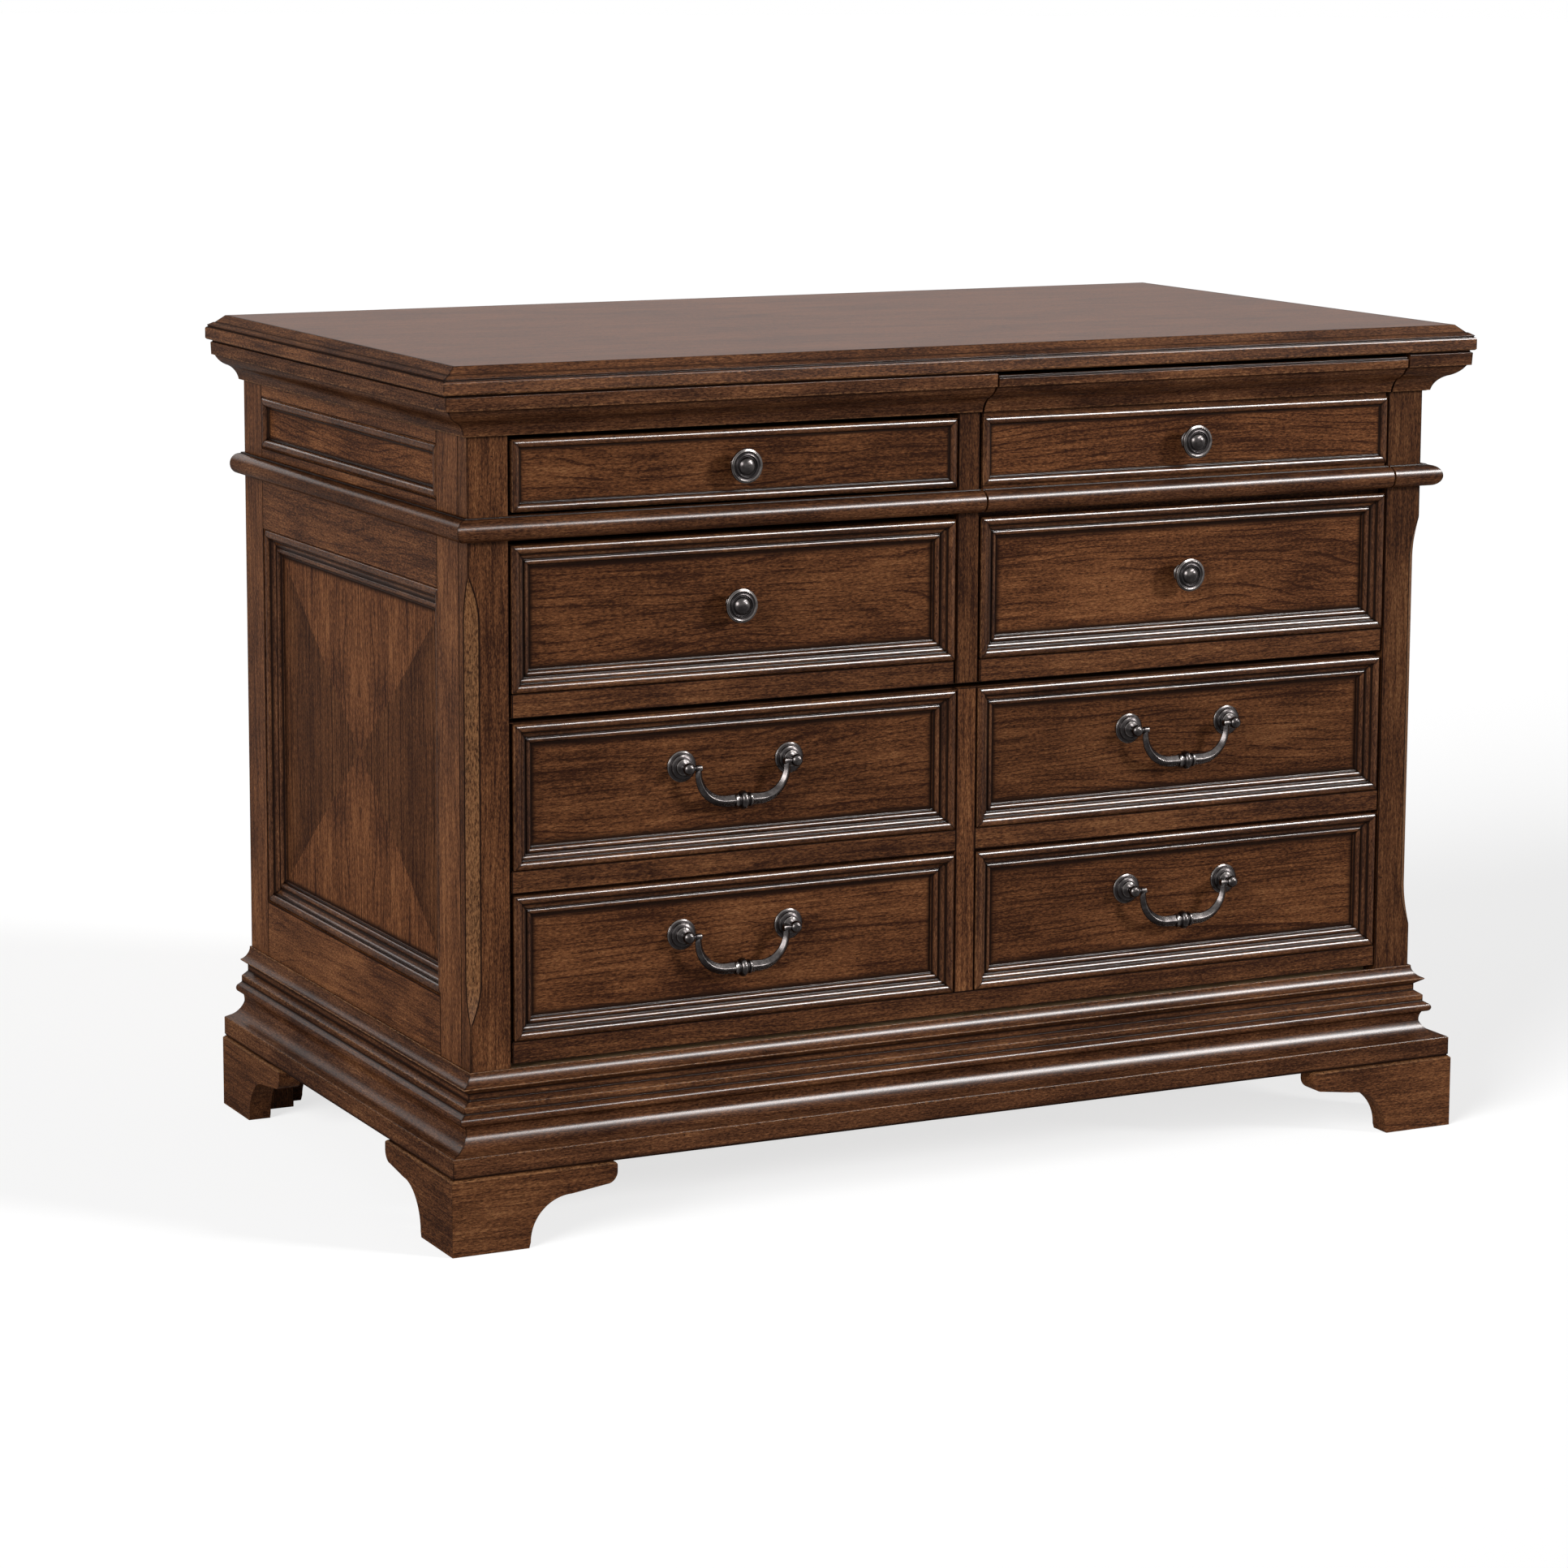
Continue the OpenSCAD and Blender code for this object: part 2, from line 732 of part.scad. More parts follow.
module case_slides() {
    color(steel) {
        slide_pair(-open_x, -stile_x, top_slide_z) slide_channel();
        slide_pair(-open_x, -stile_x, second_slide_z) slide_channel();
        slide_pair(stile_x, open_x, tray_slide_z) slide_channel();
        slide_pair(-open_x, open_x, file_slide_z) slide_channel();
    }
}

// Boards that bring the fixed slides in line with the posts
module slide_packers() {
    gap = glue;
    half = slide_h / 2 + 4;
    module packer(z) {
        board([-inner_x + gap, y_post + gap, z - half],
            [-open_x - gap, y_inner_back - gap, z + half]);
    }
    color(inner_wood) {
        packer(top_slide_z);
        packer(second_slide_z);
        mirror([1, 0, 0]) packer(tray_slide_z);
        both_sides() packer(file_slide_z);
    }
}

// Drawer boxes

// Sides, back, sub-front and bottom of a box, each its own board
module box(x0, x1, y0, z0, h) {
    y1 = y0 + box_d;
    t = box_t;
    g = glue;
    board([x0, y0, z0], [x0 + t, y1, z0 + h]);
    board([x1 - t, y0, z0], [x1, y1, z0 + h]);
    board([x0 + t + g, y1 - t, z0], [x1 - t - g, y1, z0 + h]);
    board([x0 + t + g, y0, z0], [x1 - t - g, y0 + t, z0 + h]);
    board([x0 + t + g, y0 + t + g, z0 + bottom_up],
        [x1 - t - g, y1 - t - g, z0 + bottom_up + bottom_t]);
}

// A hole from the front face to the inside of a box
module stud_hole(x, z) {
    translate([x, y_front - 1, z]) rotate([-90, 0, 0])
        cylinder(r = stud_r + stud_clear, h = past);
}

module top_drawer_front() {
    w = upper_w / 2;
    color(wood) difference() {
        board([-bank_mid - w, y_front, top_row_z],
            [-bank_mid + w, y_top_board, top_row_top_z]);
        stud_hole(-bank_mid, top_row_z + top_row_h / 2);
    }
}

module top_row_ring(x) {
    translate([x, y_front - glue, top_row_z + top_row_h / 2])
        ring(upper_w, top_row_h, small_outline(small_mould_w, 0.6));
}

module top_drawer_moulding() {
    color(wood) top_row_ring(-bank_mid);
}

module top_drawer_box() {
    color(inner_wood) difference() {
        box(-upper_box_x1, -upper_box_x0, y_top_board + glue, top_box_z, top_box_h);
        stud_hole(-bank_mid, top_row_z + top_row_h / 2);
    }
}

module top_drawer_slides() {
    color(steel) slide_pair(-open_x, -stile_x, top_slide_z) slide_runner();
}

// Front board with a flat strip applied below its field
module tall_front(x, top) {
    w = upper_w / 2;
    board([x - w, y_field, upper_z], [x + w, y_board, top]);
    board([x - w, y_front, upper_z], [x + w, y_field - glue, upper_z + upper_strip_h]);
}

module second_drawer_front() {
    color(wood) difference() {
        tall_front(-bank_mid, second_top_z);
        stud_hole(-bank_mid, second_frame_z + frame_h / 2);
    }
}

module second_ring(x) {
    translate([x, y_field - glue, second_frame_z + frame_h / 2])
        ring(upper_w, frame_h, stepped_outline(frame_mould_w, recess));
}

module second_drawer_moulding() {
    color(wood) second_ring(-bank_mid);
}

module second_drawer_box() {
    color(inner_wood) difference() {
        box(-upper_box_x1, -upper_box_x0, y_board + glue, second_box_z, second_box_h);
        stud_hole(-bank_mid, second_frame_z + frame_h / 2);
    }
}

module second_drawer_slides() {
    color(steel) slide_pair(-open_x, -stile_x, second_slide_z) slide_runner();
}

// Knob with its stud, standing out towards -Y, and its nut behind the wood
module knob(wood_t) {
    r = knob_r;
    o = knob_out;
    nut_t = 3.2;
    nut_r = 4.6;
    rotate([90, 0, 0]) {
        rotate_extrude() polygon(concat(
            [[0, 0], [r - 6.7, 0], [r - 6.7, 1.5], [r - 9.2, 3.5], [r - 9.7, o - 13.5]],
            arc([r - 9, o - 12], [r - 1, o - 8], 1.4),
            [[r, o - 6.4], [r - 0.3, o - 4.9], [r - 2.3, o - 3.9], [r - 3.5, o - 4.8],
             [r - 4.2, o - 5], [r - 4.7, o - 3.9], [r - 5.8, o - 3.4], [r - 6.6, o - 4.6]],
            arc([r - 7.2, o - 4.6], [0, o], -1.6)));
        translate([0, 0, -wood_t - nut_t - 2]) cylinder(r = stud_r, h = wood_t + nut_t + 3);
        translate([0, 0, -wood_t - nut_t - glue]) difference() {
            cylinder(r = nut_r, h = nut_t, $fn = 6);
            translate([0, 0, -1]) cylinder(r = stud_r + 0.05, h = nut_t + 2);
        }
    }
}

module top_drawer_knob() {
    color(bronze) translate([-bank_mid, y_front, top_row_z + top_row_h / 2])
        knob(top_board_t + glue + box_t);
}

module second_drawer_knob() {
    color(bronze) translate([-bank_mid, y_field, second_frame_z + frame_h / 2])
        knob(board_t + glue + box_t);
}

// Printer pull-out

module printer_front() {
    w = upper_w / 2;
    color(wood) difference() {
        union() {
            tall_front(bank_mid, top_z - lift_gap);
            board([bank_mid - w, y_front, bead_z],
                [bank_mid + w, y_field - glue, top_z - lift_gap]);
        }
        stud_hole(bank_mid, second_frame_z + frame_h / 2);
        stud_hole(bank_mid, top_row_z + top_row_h / 2);
    }
}

module printer_cornice() {
    color(wood) front_run(cornice_outline(cornice_h - lift_gap), cornice_z,
        cut_x + cut_gap, cut_end_x, 0, 0);
}

module printer_bead() {
    color(wood) front_run(bead_outline(), bead_z, cut_x + cut_gap, cut_end_x, 0, 0);
}

module printer_mouldings() {
    color(wood) {
        top_row_ring(bank_mid);
        second_ring(bank_mid);
    }
}

module printer_knobs() {
    color(bronze) {
        translate([bank_mid, y_front, top_row_z + top_row_h / 2]) knob(recess + board_t);
        translate([bank_mid, y_field, second_frame_z + frame_h / 2]) knob(board_t);
    }
}

module printer_tray() {
    x0 = upper_box_x0;
    x1 = upper_box_x1;
    y0 = y_board + glue;
    y1 = y0 + box_d;
    z0 = second_box_z;
    t = box_t;
    g = glue;
    color(inner_wood) {
        board([x0, y0, z0], [x0 + t, y1, z0 + tray_side_h]);
        board([x1 - t, y0, z0], [x1, y1, z0 + tray_side_h]);
        board([x0 + t + g, y0, z0], [x1 - t - g, y1 - t - g, z0 + tray_t]);
        board([x0 + t + g, y1 - t, z0], [x1 - t - g, y1, z0 + tray_side_h]);
    }
}

// Angle brackets that tie the tall front to the sides of the tray
module printer_brackets() {
    z0 = second_box_z + tray_t + glue;
    y0 = y_board + glue;
    t = bracket_t;
    module angle() {
        board([0, y0, z0], [t, y0 + bracket_leg, second_box_z + tray_side_h]);
        board([0, y0, z0], [t * 6, y0 + t, z0 + bracket_leg]);
    }
    color(steel) {
        translate([upper_box_x0 + box_t + glue, 0, 0]) angle();
        translate([upper_box_x1 - box_t - glue, 0, 0]) mirror([1, 0, 0]) angle();
    }
}

module printer_slides() {
    color(steel) slide_pair(stile_x, open_x, tray_slide_z) slide_runner();
}

// File drawer

module bail_places() {
    for (x = [-1, 1], z = [low_bail_z, high_bail_z])
        translate([x * file_frame_mid, 0, z]) children();
}

module file_front() {
    w = file_w / 2;
    half = file_stile_w / 2;
    y_skin = y_field - glue;
    color(wood) difference() {
        union() {
            board([-w, y_field, file_z], [w, y_board, file_top_z]);
            board([-w, y_front, file_z], [w, y_skin, file_z + strip_h]);
            board([-half, y_front, file_z + strip_h + glue], [half, y_skin, file_top_z]);
            both_sides() board([half + glue, y_front, high_frame_z - line_low - strip_h],
                [w, y_skin, high_frame_z - line_low]);
        }
        bail_places() for (s = [-1, 1]) stud_hole(s * bail_span / 2, 0);
    }
}

module file_mouldings() {
    color(wood) for (x = [-1, 1], z = [low_frame_z, high_frame_z])
        translate([x * file_frame_mid, y_field - glue, z + frame_h / 2])
            ring(file_frame_w, frame_h, stepped_outline(frame_mould_w, recess));
}

module file_box() {
    color(inner_wood) difference() {
        box(-file_box_x, file_box_x, y_board + glue, file_box_z, file_box_h);
        bail_places() for (s = [-1, 1]) stud_hole(s * bail_span / 2, 0);
    }
}

// Steel bars over the box that hanging files ride on
module hanging_rails() {
    z0 = file_box_z + file_box_h + glue;
    y0 = y_board + glue + box_t + file_rail_start;
    color(steel) for (y = [y0, y0 + file_rail_span])
        board([-file_box_x, y, z0], [file_box_x, y + file_rail_w, z0 + file_rail_h]);
}

module file_slides() {
    color(steel) slide_pair(-open_x, open_x, file_slide_z) slide_runner();
}

// Stepped rosette with a ball on a stem, a blind bore for the pin and a stud
module bail_post() {
    r = rosette_r;
    b = ball_r;
    neck_r = 2.9;
    wood_t = board_t + glue + box_t;
    nut_t = 3.2;
    nut_r = 4.6;
    rotate([90, 0, 0]) {
        difference() {
            union() {
                rotate_extrude() polygon([[0, 0], [r, 0], [r, 1.2], [r - 1.5, 2.3],
                    [r - 2.7, 2.4], [r - 3.3, 3.8], [r - 5.3, 4.8], [r - 6.3, 4.9],
                    [r - 6.9, 6.4], [r - 9.3, 7.5], [neck_r, 8.8],
                    [neck_r, pivot_out], [0, pivot_out]]);
                translate([0, 0, pivot_out]) sphere(r = b);
                translate([0, 0, -wood_t - nut_t - 2])
                    cylinder(r = stud_r, h = wood_t + nut_t + 3);
            }
            translate([-1, 0, pivot_out]) rotate([0, 90, 0])
                cylinder(r = pin_r + pin_clear, h = b + 2);
        }
        translate([0, 0, -wood_t - nut_t - glue]) difference() {
            cylinder(r = nut_r, h = nut_t, $fn = 6);
            translate([0, 0, -1]) cylinder(r = stud_r + 0.05, h = nut_t + 2);
        }
    }
}

module bail_posts() {
    color(bronze) translate([0, y_field, 0]) bail_places() {
        translate([-bail_span / 2, 0, 0]) bail_post();
        translate([bail_span / 2, 0, 0]) mirror([1, 0, 0]) bail_post();
    }
}

// Half of the bail, from its pin down and round to the knuckle
module bail_arm() {
    arm_x = bail_span / 2 - ball_r - bail_r - 1.2;
    drop = bail_drop - bail_bend_r;
    flat = arm_x - bail_bend_r;
    bend_r = bail_r + 1.3;
    thick_r = bail_r + 2.5;
    translate([arm_x, 0, 0]) {
        sphere(r = bail_r);
        rotate([0, 90, 0]) cylinder(r = pin_r, h = bail_span / 2 - arm_x - 0.6);
        translate([0, 0, -drop]) cylinder(r1 = bend_r, r2 = bail_r, h = drop);
    }
    translate([flat, 0, -drop]) rotate([-90, 0, 0])
        rotate_extrude(angle = 90) translate([bail_bend_r, 0]) circle(r = bend_r);
    translate([0, 0, -bail_drop]) rotate([0, 90, 0])
        cylinder(r1 = thick_r, r2 = bend_r, h = flat);
}

module bail() {
    k = knuckle_r;
    bail_arm();
    mirror([1, 0, 0]) bail_arm();
    translate([0, 0, -bail_drop]) rotate([0, 90, 0]) rotate_extrude()
        polygon(concat([[0, -8.6], [k - 3, -8.6], [k - 1.6, -7.6], [k - 1.6, -6],
            [k - 2.8, -5.2], [k - 2.8, -4.4]],
            arc([k - 2.4, -4], [k - 2.4, 4], -2.4, 8),
            [[k - 2.8, 4.4], [k - 2.8, 5.2], [k - 1.6, 6], [k - 1.6, 7.6],
             [k - 3, 8.6], [0, 8.6]]));
}

module bail_at(side, z) {
    color(bronze) translate([side * file_frame_mid, y_pivot, z]) bail();
}

module bail_low_left() {
    bail_at(-1, low_bail_z);
}

module bail_low_right() {
    bail_at(1, low_bail_z);
}

module bail_high_left() {
    bail_at(-1, high_bail_z);
}

module bail_high_right() {
    bail_at(1, high_bail_z);
}

top_panel();
top_edge_front();
top_edge_back();
top_edge_sides();
cornice_front();
cornice_front_end();
cornice_sides();
bead_front();
bead_front_end();
bead_sides();
post_left();
post_right();
side_frame_left();
side_frame_right();
side_panels();
side_mouldings();
centre_stile();
base_front();
base_sides();
foot_front_left();
foot_front_right();
foot_back_left();
foot_back_right();
glue_blocks();
back_panel();
dust_shelf();
bottom_panel();
centre_divider();
cross_rails();
slide_packers();
case_slides();
top_drawer_front();
top_drawer_moulding();
top_drawer_box();
top_drawer_knob();
top_drawer_slides();
second_drawer_front();
second_drawer_moulding();
second_drawer_box();
second_drawer_knob();
second_drawer_slides();
printer_front();
printer_cornice();
printer_bead();
printer_mouldings();
printer_knobs();
printer_tray();
printer_brackets();
printer_slides();
file_front();
file_mouldings();
file_box();
hanging_rails();
file_slides();
bail_posts();
bail_low_left();
bail_low_right();
bail_high_left();
bail_high_right();
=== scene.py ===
"""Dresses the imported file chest: woodwork, mouldings, pulls, finishes and a plain studio.

Metres, with the front facing -Y, +X to the right and Z = 0 on the floor.
"""

import json
import math
import random

import bmesh
import bpy
import numpy as np
from mathutils import Matrix, Vector

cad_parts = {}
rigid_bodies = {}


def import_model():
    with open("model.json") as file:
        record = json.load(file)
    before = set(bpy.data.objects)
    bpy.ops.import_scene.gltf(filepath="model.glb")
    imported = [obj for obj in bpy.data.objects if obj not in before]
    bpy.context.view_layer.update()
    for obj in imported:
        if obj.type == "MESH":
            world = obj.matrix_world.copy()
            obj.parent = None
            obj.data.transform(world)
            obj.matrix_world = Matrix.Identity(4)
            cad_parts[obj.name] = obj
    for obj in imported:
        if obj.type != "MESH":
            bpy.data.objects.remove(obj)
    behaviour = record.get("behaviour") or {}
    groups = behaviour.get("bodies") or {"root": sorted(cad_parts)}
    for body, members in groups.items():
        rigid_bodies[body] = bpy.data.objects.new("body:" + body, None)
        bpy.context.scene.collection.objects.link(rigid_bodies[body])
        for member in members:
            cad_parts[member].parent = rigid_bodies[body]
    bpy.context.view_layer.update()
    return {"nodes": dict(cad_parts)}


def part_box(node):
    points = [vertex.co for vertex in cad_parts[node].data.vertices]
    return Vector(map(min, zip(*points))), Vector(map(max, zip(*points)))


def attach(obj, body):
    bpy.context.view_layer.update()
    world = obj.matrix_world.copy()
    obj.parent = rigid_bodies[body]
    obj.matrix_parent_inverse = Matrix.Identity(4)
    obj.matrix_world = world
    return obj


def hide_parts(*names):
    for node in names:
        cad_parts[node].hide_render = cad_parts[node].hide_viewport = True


bl_info = {
    "name": "File Chest",
    "version": (1, 0, 0),
    "blender": (4, 5, 0),
    "location": "3D View > Sidebar > Chest",
    "description": "Woodwork, mouldings, pulls and finishes of a traditional file chest",
    "category": "Object",
}

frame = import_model()

MM = 0.001
X, Y, Z = np.eye(3)

# Places that several pieces share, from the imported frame
GAP = 0.0001  # Between pieces that lie on each other
CASE_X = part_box("side_frame_right")[1].x
FRONT_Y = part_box("post_left")[0].y
BACK_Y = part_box("side_frame_left")[1].y
FIELD_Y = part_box("file_mouldings")[1].y + GAP
TOP_LOW, TOP_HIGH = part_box("top_panel")


# Sizes and colours that a user would change

def length(name, text, default):
    """A property for a size in metres."""
    return bpy.props.FloatProperty(
        name=name, description=text, default=default, min=0.0, precision=5, unit="LENGTH")


def colour(name, text, default):
    """A property for a linear colour."""
    return bpy.props.FloatVectorProperty(
        name=name, description=text, default=default, size=3, min=0.0, max=1.0,
        subtype="COLOR")


class ChestSizes(bpy.types.PropertyGroup):
    """Sizes of the details that the frame leaves open."""

    arris: length("Arris", "Rounding along the edges of the boards", 0.0008)
    steel_arris: length("Steel arris", "Rounding along the edges of the steel", 0.0003)
    moulding_round: length("Moulding round", "Rounding of a moulding's corners", 0.0005)
    # The dark in a quirk is glaze and painted shade
    quirk_reach: length("Quirk reach", "How far the glaze reaches out of a quirk", 0.0025)
    mitre_reach: length("Mitre reach", "How far the glaze reaches out of a mitre", 0.0022)
    foot_round: length("Foot round", "Rounding along the edges of the feet", 0.0024)
    veneer: length("Veneer", "Thickness of the veneered fields", 0.00025)
    # The dark rim is glaze, and painted shade beside the moulding
    rim: length("Glazed rim", "Width of the dark rim around a field", 0.010)
    front_mould: length("Front moulding", "Width of the stepped moulding", 0.0195)
    small_mould: length("Small moulding", "Width of the top row's moulding", 0.0084)
    side_mould: length("Side moulding", "Width of the lower side moulding", 0.024)
    low_recess: length("Low recess", "Depth of the lower side panels", 0.012)
    high_recess: length("High recess", "Depth of the upper side panels", 0.005)
    high_mould: length("High moulding", "Width of the upper side moulding", 0.0105)
    chamfer: length("Chamfer", "Width of the stopped chamfer on the posts", 0.0105)
    rosette: length("Rosette", "Radius of the rosettes", 0.0142)
    knuckle: length("Knuckle", "Radius of the knuckle in a bail", 0.0086)
    bail_span: length("Bail span", "Distance between the posts of a pull", 0.108)
    bail_drop: length("Bail drop", "Drop from the pivots to the middle of the bail", 0.032)
    bail_rod: length("Bail rod", "Half the thickness of the bail at its pins", 0.0028)
    bail_swell: length("Bail swell", "Half the thickness of the bail beside its knuckle", 0.0058)


class ChestColours(bpy.types.PropertyGroup):
    """Finishes, as linear colours."""

    field_light: colour("Field light", "Light grain of the fields", (0.150, 0.0565, 0.0215))
    field_dark: colour("Field dark", "Dark grain of the fields", (0.026, 0.0088, 0.0042))
    top_light: colour("Top light", "Light grain of the top", (0.205, 0.0740, 0.0290))
    top_dark: colour("Top dark", "Dark grain of the top", (0.050, 0.0165, 0.0080))
    frame_light: colour("Frame light", "Light grain of posts and strips", (0.130, 0.0500, 0.0195))
    frame_dark: colour("Frame dark", "Dark grain of posts and strips", (0.023, 0.0080, 0.0040))
    mould_light: colour("Moulding light", "Light grain of the mouldings", (0.112, 0.0440, 0.0185))
    mould_dark: colour("Moulding dark", "Dark grain of the mouldings", (0.022, 0.0080, 0.0040))
    # The glaze colour also paints the shade in quirks and along the fields' rims
    glaze: colour("Glaze", "Dark glaze left in quirks and rims", (0.0105, 0.0050, 0.0034))
    rubbed: colour("Rubbed", "Golden wood where the finish is rubbed thin", (0.235, 0.113, 0.047))
    carcase_light: colour("Carcase light", "Light grain of the inner wood", (0.52, 0.35, 0.19))
    carcase_dark: colour("Carcase dark", "Dark grain of the inner wood", (0.37, 0.225, 0.108))
    bronze: colour("Bronze", "Worn bright metal of the pulls", (0.185, 0.168, 0.160))
    bronze_dark: colour("Bronze dark", "Dark patina of the pulls", (0.040, 0.035, 0.035))
    steel: colour("Steel", "Zinc plated slides and rails", (0.50, 0.51, 0.52))
    floor: colour("Floor", "The studio floor", (0.86, 0.86, 0.86))


class ChestStudio(bpy.types.PropertyGroup):
    """Camera and light."""

    lens: bpy.props.FloatProperty(
        name="Lens", description="Focal length in millimetres", default=104.34089)
    fill: bpy.props.FloatProperty(
        name="Fill", description="Light from all round", default=0.24, min=0.0)
    key: bpy.props.FloatProperty(
        name="Key", description="Light from the right front", default=2.35, min=0.0)
    side: bpy.props.FloatProperty(
        name="Side", description="Light from the left front", default=2.65, min=0.0)
    gleam: bpy.props.FloatProperty(
        name="Gleam", description="Radiance of the strip behind the wood's highlights",
        default=380.0, min=0.0)
    sheen: bpy.props.FloatProperty(
        name="Sheen", description="Radiance of the panel behind the pale sheen on the sides",
        default=9.0, min=0.0)
    glint: bpy.props.FloatProperty(
        name="Glint", description="Radiance of the strip behind the metal's highlights",
        default=22.0, min=0.0)


# Node trees

class Socket:
    """A socket of a node, which takes part in sums like a number."""

    def __init__(self, graph, out):
        self.graph = graph
        self.out = out

    def math(self, operation, *others):
        """A Math node on this socket and the others."""
        return self.graph.node("ShaderNodeMath", {"operation": operation}, self, *others)

    def __add__(self, other):
        return self.math("ADD", other)

    def __sub__(self, other):
        return self.math("SUBTRACT", other)

    def __rsub__(self, other):
        return self.graph.node("ShaderNodeMath", {"operation": "SUBTRACT"}, other, self)

    def __mul__(self, other):
        return self.math("MULTIPLY", other)

    __radd__ = __add__
    __rmul__ = __mul__

    def between(self, low, high):
        """0 below low and 1 above high, with a smooth rise."""
        return self.graph.node(
            "ShaderNodeMapRange", {"interpolation_type": "SMOOTHSTEP"}, self, low, high)


class Graph:
    """Adds nodes to a tree, one call for each."""

    def __init__(self, tree):
        self.tree = tree

    def node(self, kind, settings=None, *values, output=0, **named):
        """Adds a node, sets it, then fills its sockets with values or links."""
        made = self.tree.nodes.new(kind)
        for key, value in (settings or {}).items():
            setattr(made, key, value)
        for key, value in [*enumerate(values), *named.items()]:
            if isinstance(key, str) and key not in made.inputs:
                key = key.replace("_", " ")
            self.fill(made.inputs[key], value)
        return Socket(self, made.outputs[output]) if len(made.outputs) else made

    def fill(self, socket, value):
        """Links a socket, or sets its value."""
        if isinstance(value, Socket):
            self.tree.links.new(value.out, socket)
        elif value is not None:
            socket.default_value = value

    def mix(self, factor, a, b):
        """Mixes two colours, through the colour sockets of a Mix node."""
        made = self.tree.nodes.new("ShaderNodeMix")
        made.data_type = "RGBA"
        for index, value in ((0, factor), (6, a), (7, b)):
            self.fill(made.inputs[index], value)
        return Socket(self, made.outputs[2])

    def scaled(self, colour, factor):
        """A colour times a number."""
        return self.node(
            "ShaderNodeVectorMath", {"operation": "SCALE"}, colour, Scale=factor)

    def noise(self, vector, scale, detail=2.0, roughness=0.5, distortion=0.0):
        """Noise with its own scale along each axis."""
        place = self.node("ShaderNodeMapping", None, vector, Scale=scale)
        return self.node("ShaderNodeTexNoise", None, place, Scale=1.0, Detail=detail,
                         Roughness=roughness, Distortion=distortion)


def rgba(value):
    """A colour with its alpha."""
    return (*value, 1.0)


WHITE = rgba((1.0, 1.0, 1.0))


def new_material(name):
    """A material with an empty tree and its graph."""
    material = bpy.data.materials.new(name)
    material.use_nodes = True
    material.node_tree.nodes.clear()
    return material, Graph(material.node_tree)


def finish_material(graph, height, strength, distance, **sockets):
    """Ends a tree in a Principled shader with a bump."""
    normal = graph.node("ShaderNodeBump", None, Strength=strength, Distance=distance,
                        Height=height)
    shader = graph.node("ShaderNodeBsdfPrincipled", None, Normal=normal, **sockets)
    graph.node("ShaderNodeOutputMaterial", None, shader)


def held(g, name, output="Fac"):
    """What a piece holds at its corners: grain, tone, or glaze and painted shade."""
    return g.node("ShaderNodeAttribute", {"attribute_name": name}, output=output)


# How often the wood's patterns repeat in a metre: along the grain, then twice across it
FLECKS, FIBRES, STREAKS = (230, 800, 800), (26, 950, 950), (12, 190, 190)
MOTTLE, BEND, PATCHES = (8, 18, 18), (2.0, 9, 9), (14, 60, 60)
PORES, SPECKS, INNER_FIBRES = (300, 1700, 1700), (75, 75, 75), (40, 800, 800)
RINGS, RING_BEND, RING_WAVER = 125, 14.0, 0.5
INNER_RINGS, INNER_BEND = 45, 6.0


def ring_lines(g, grain, streaks):
    """The thin dark lines of the year rings, in patches."""
    across = g.node("ShaderNodeSeparateXYZ", None, grain, output="Y")
    bend = g.noise(grain, BEND, 2.0, 0.45, 0.3)
    rings = (across * RINGS + bend * RING_BEND + (streaks - 0.5) * RING_WAVER).math("FRACT")
    line = rings.between(0.68, 0.96) * (1 - rings.between(0.96, 1.0))
    return line * g.noise(grain, PATCHES, 3.0).between(0.36, 0.62)


def dark_specks(g, grain):
    """Small dark specks, in about half of the cells that could hold one."""
    cells = g.node("ShaderNodeMapping", None, grain, Scale=SPECKS)
    near = g.node("ShaderNodeTexVoronoi", None, cells, Scale=1.0)
    chance = g.node("ShaderNodeTexVoronoi", None, cells, Scale=1.0, output="Color")
    chosen = g.node("ShaderNodeSeparateXYZ", None, chance).between(0.45, 0.47)
    return (1 - near.between(0.035, 0.085)) * chosen


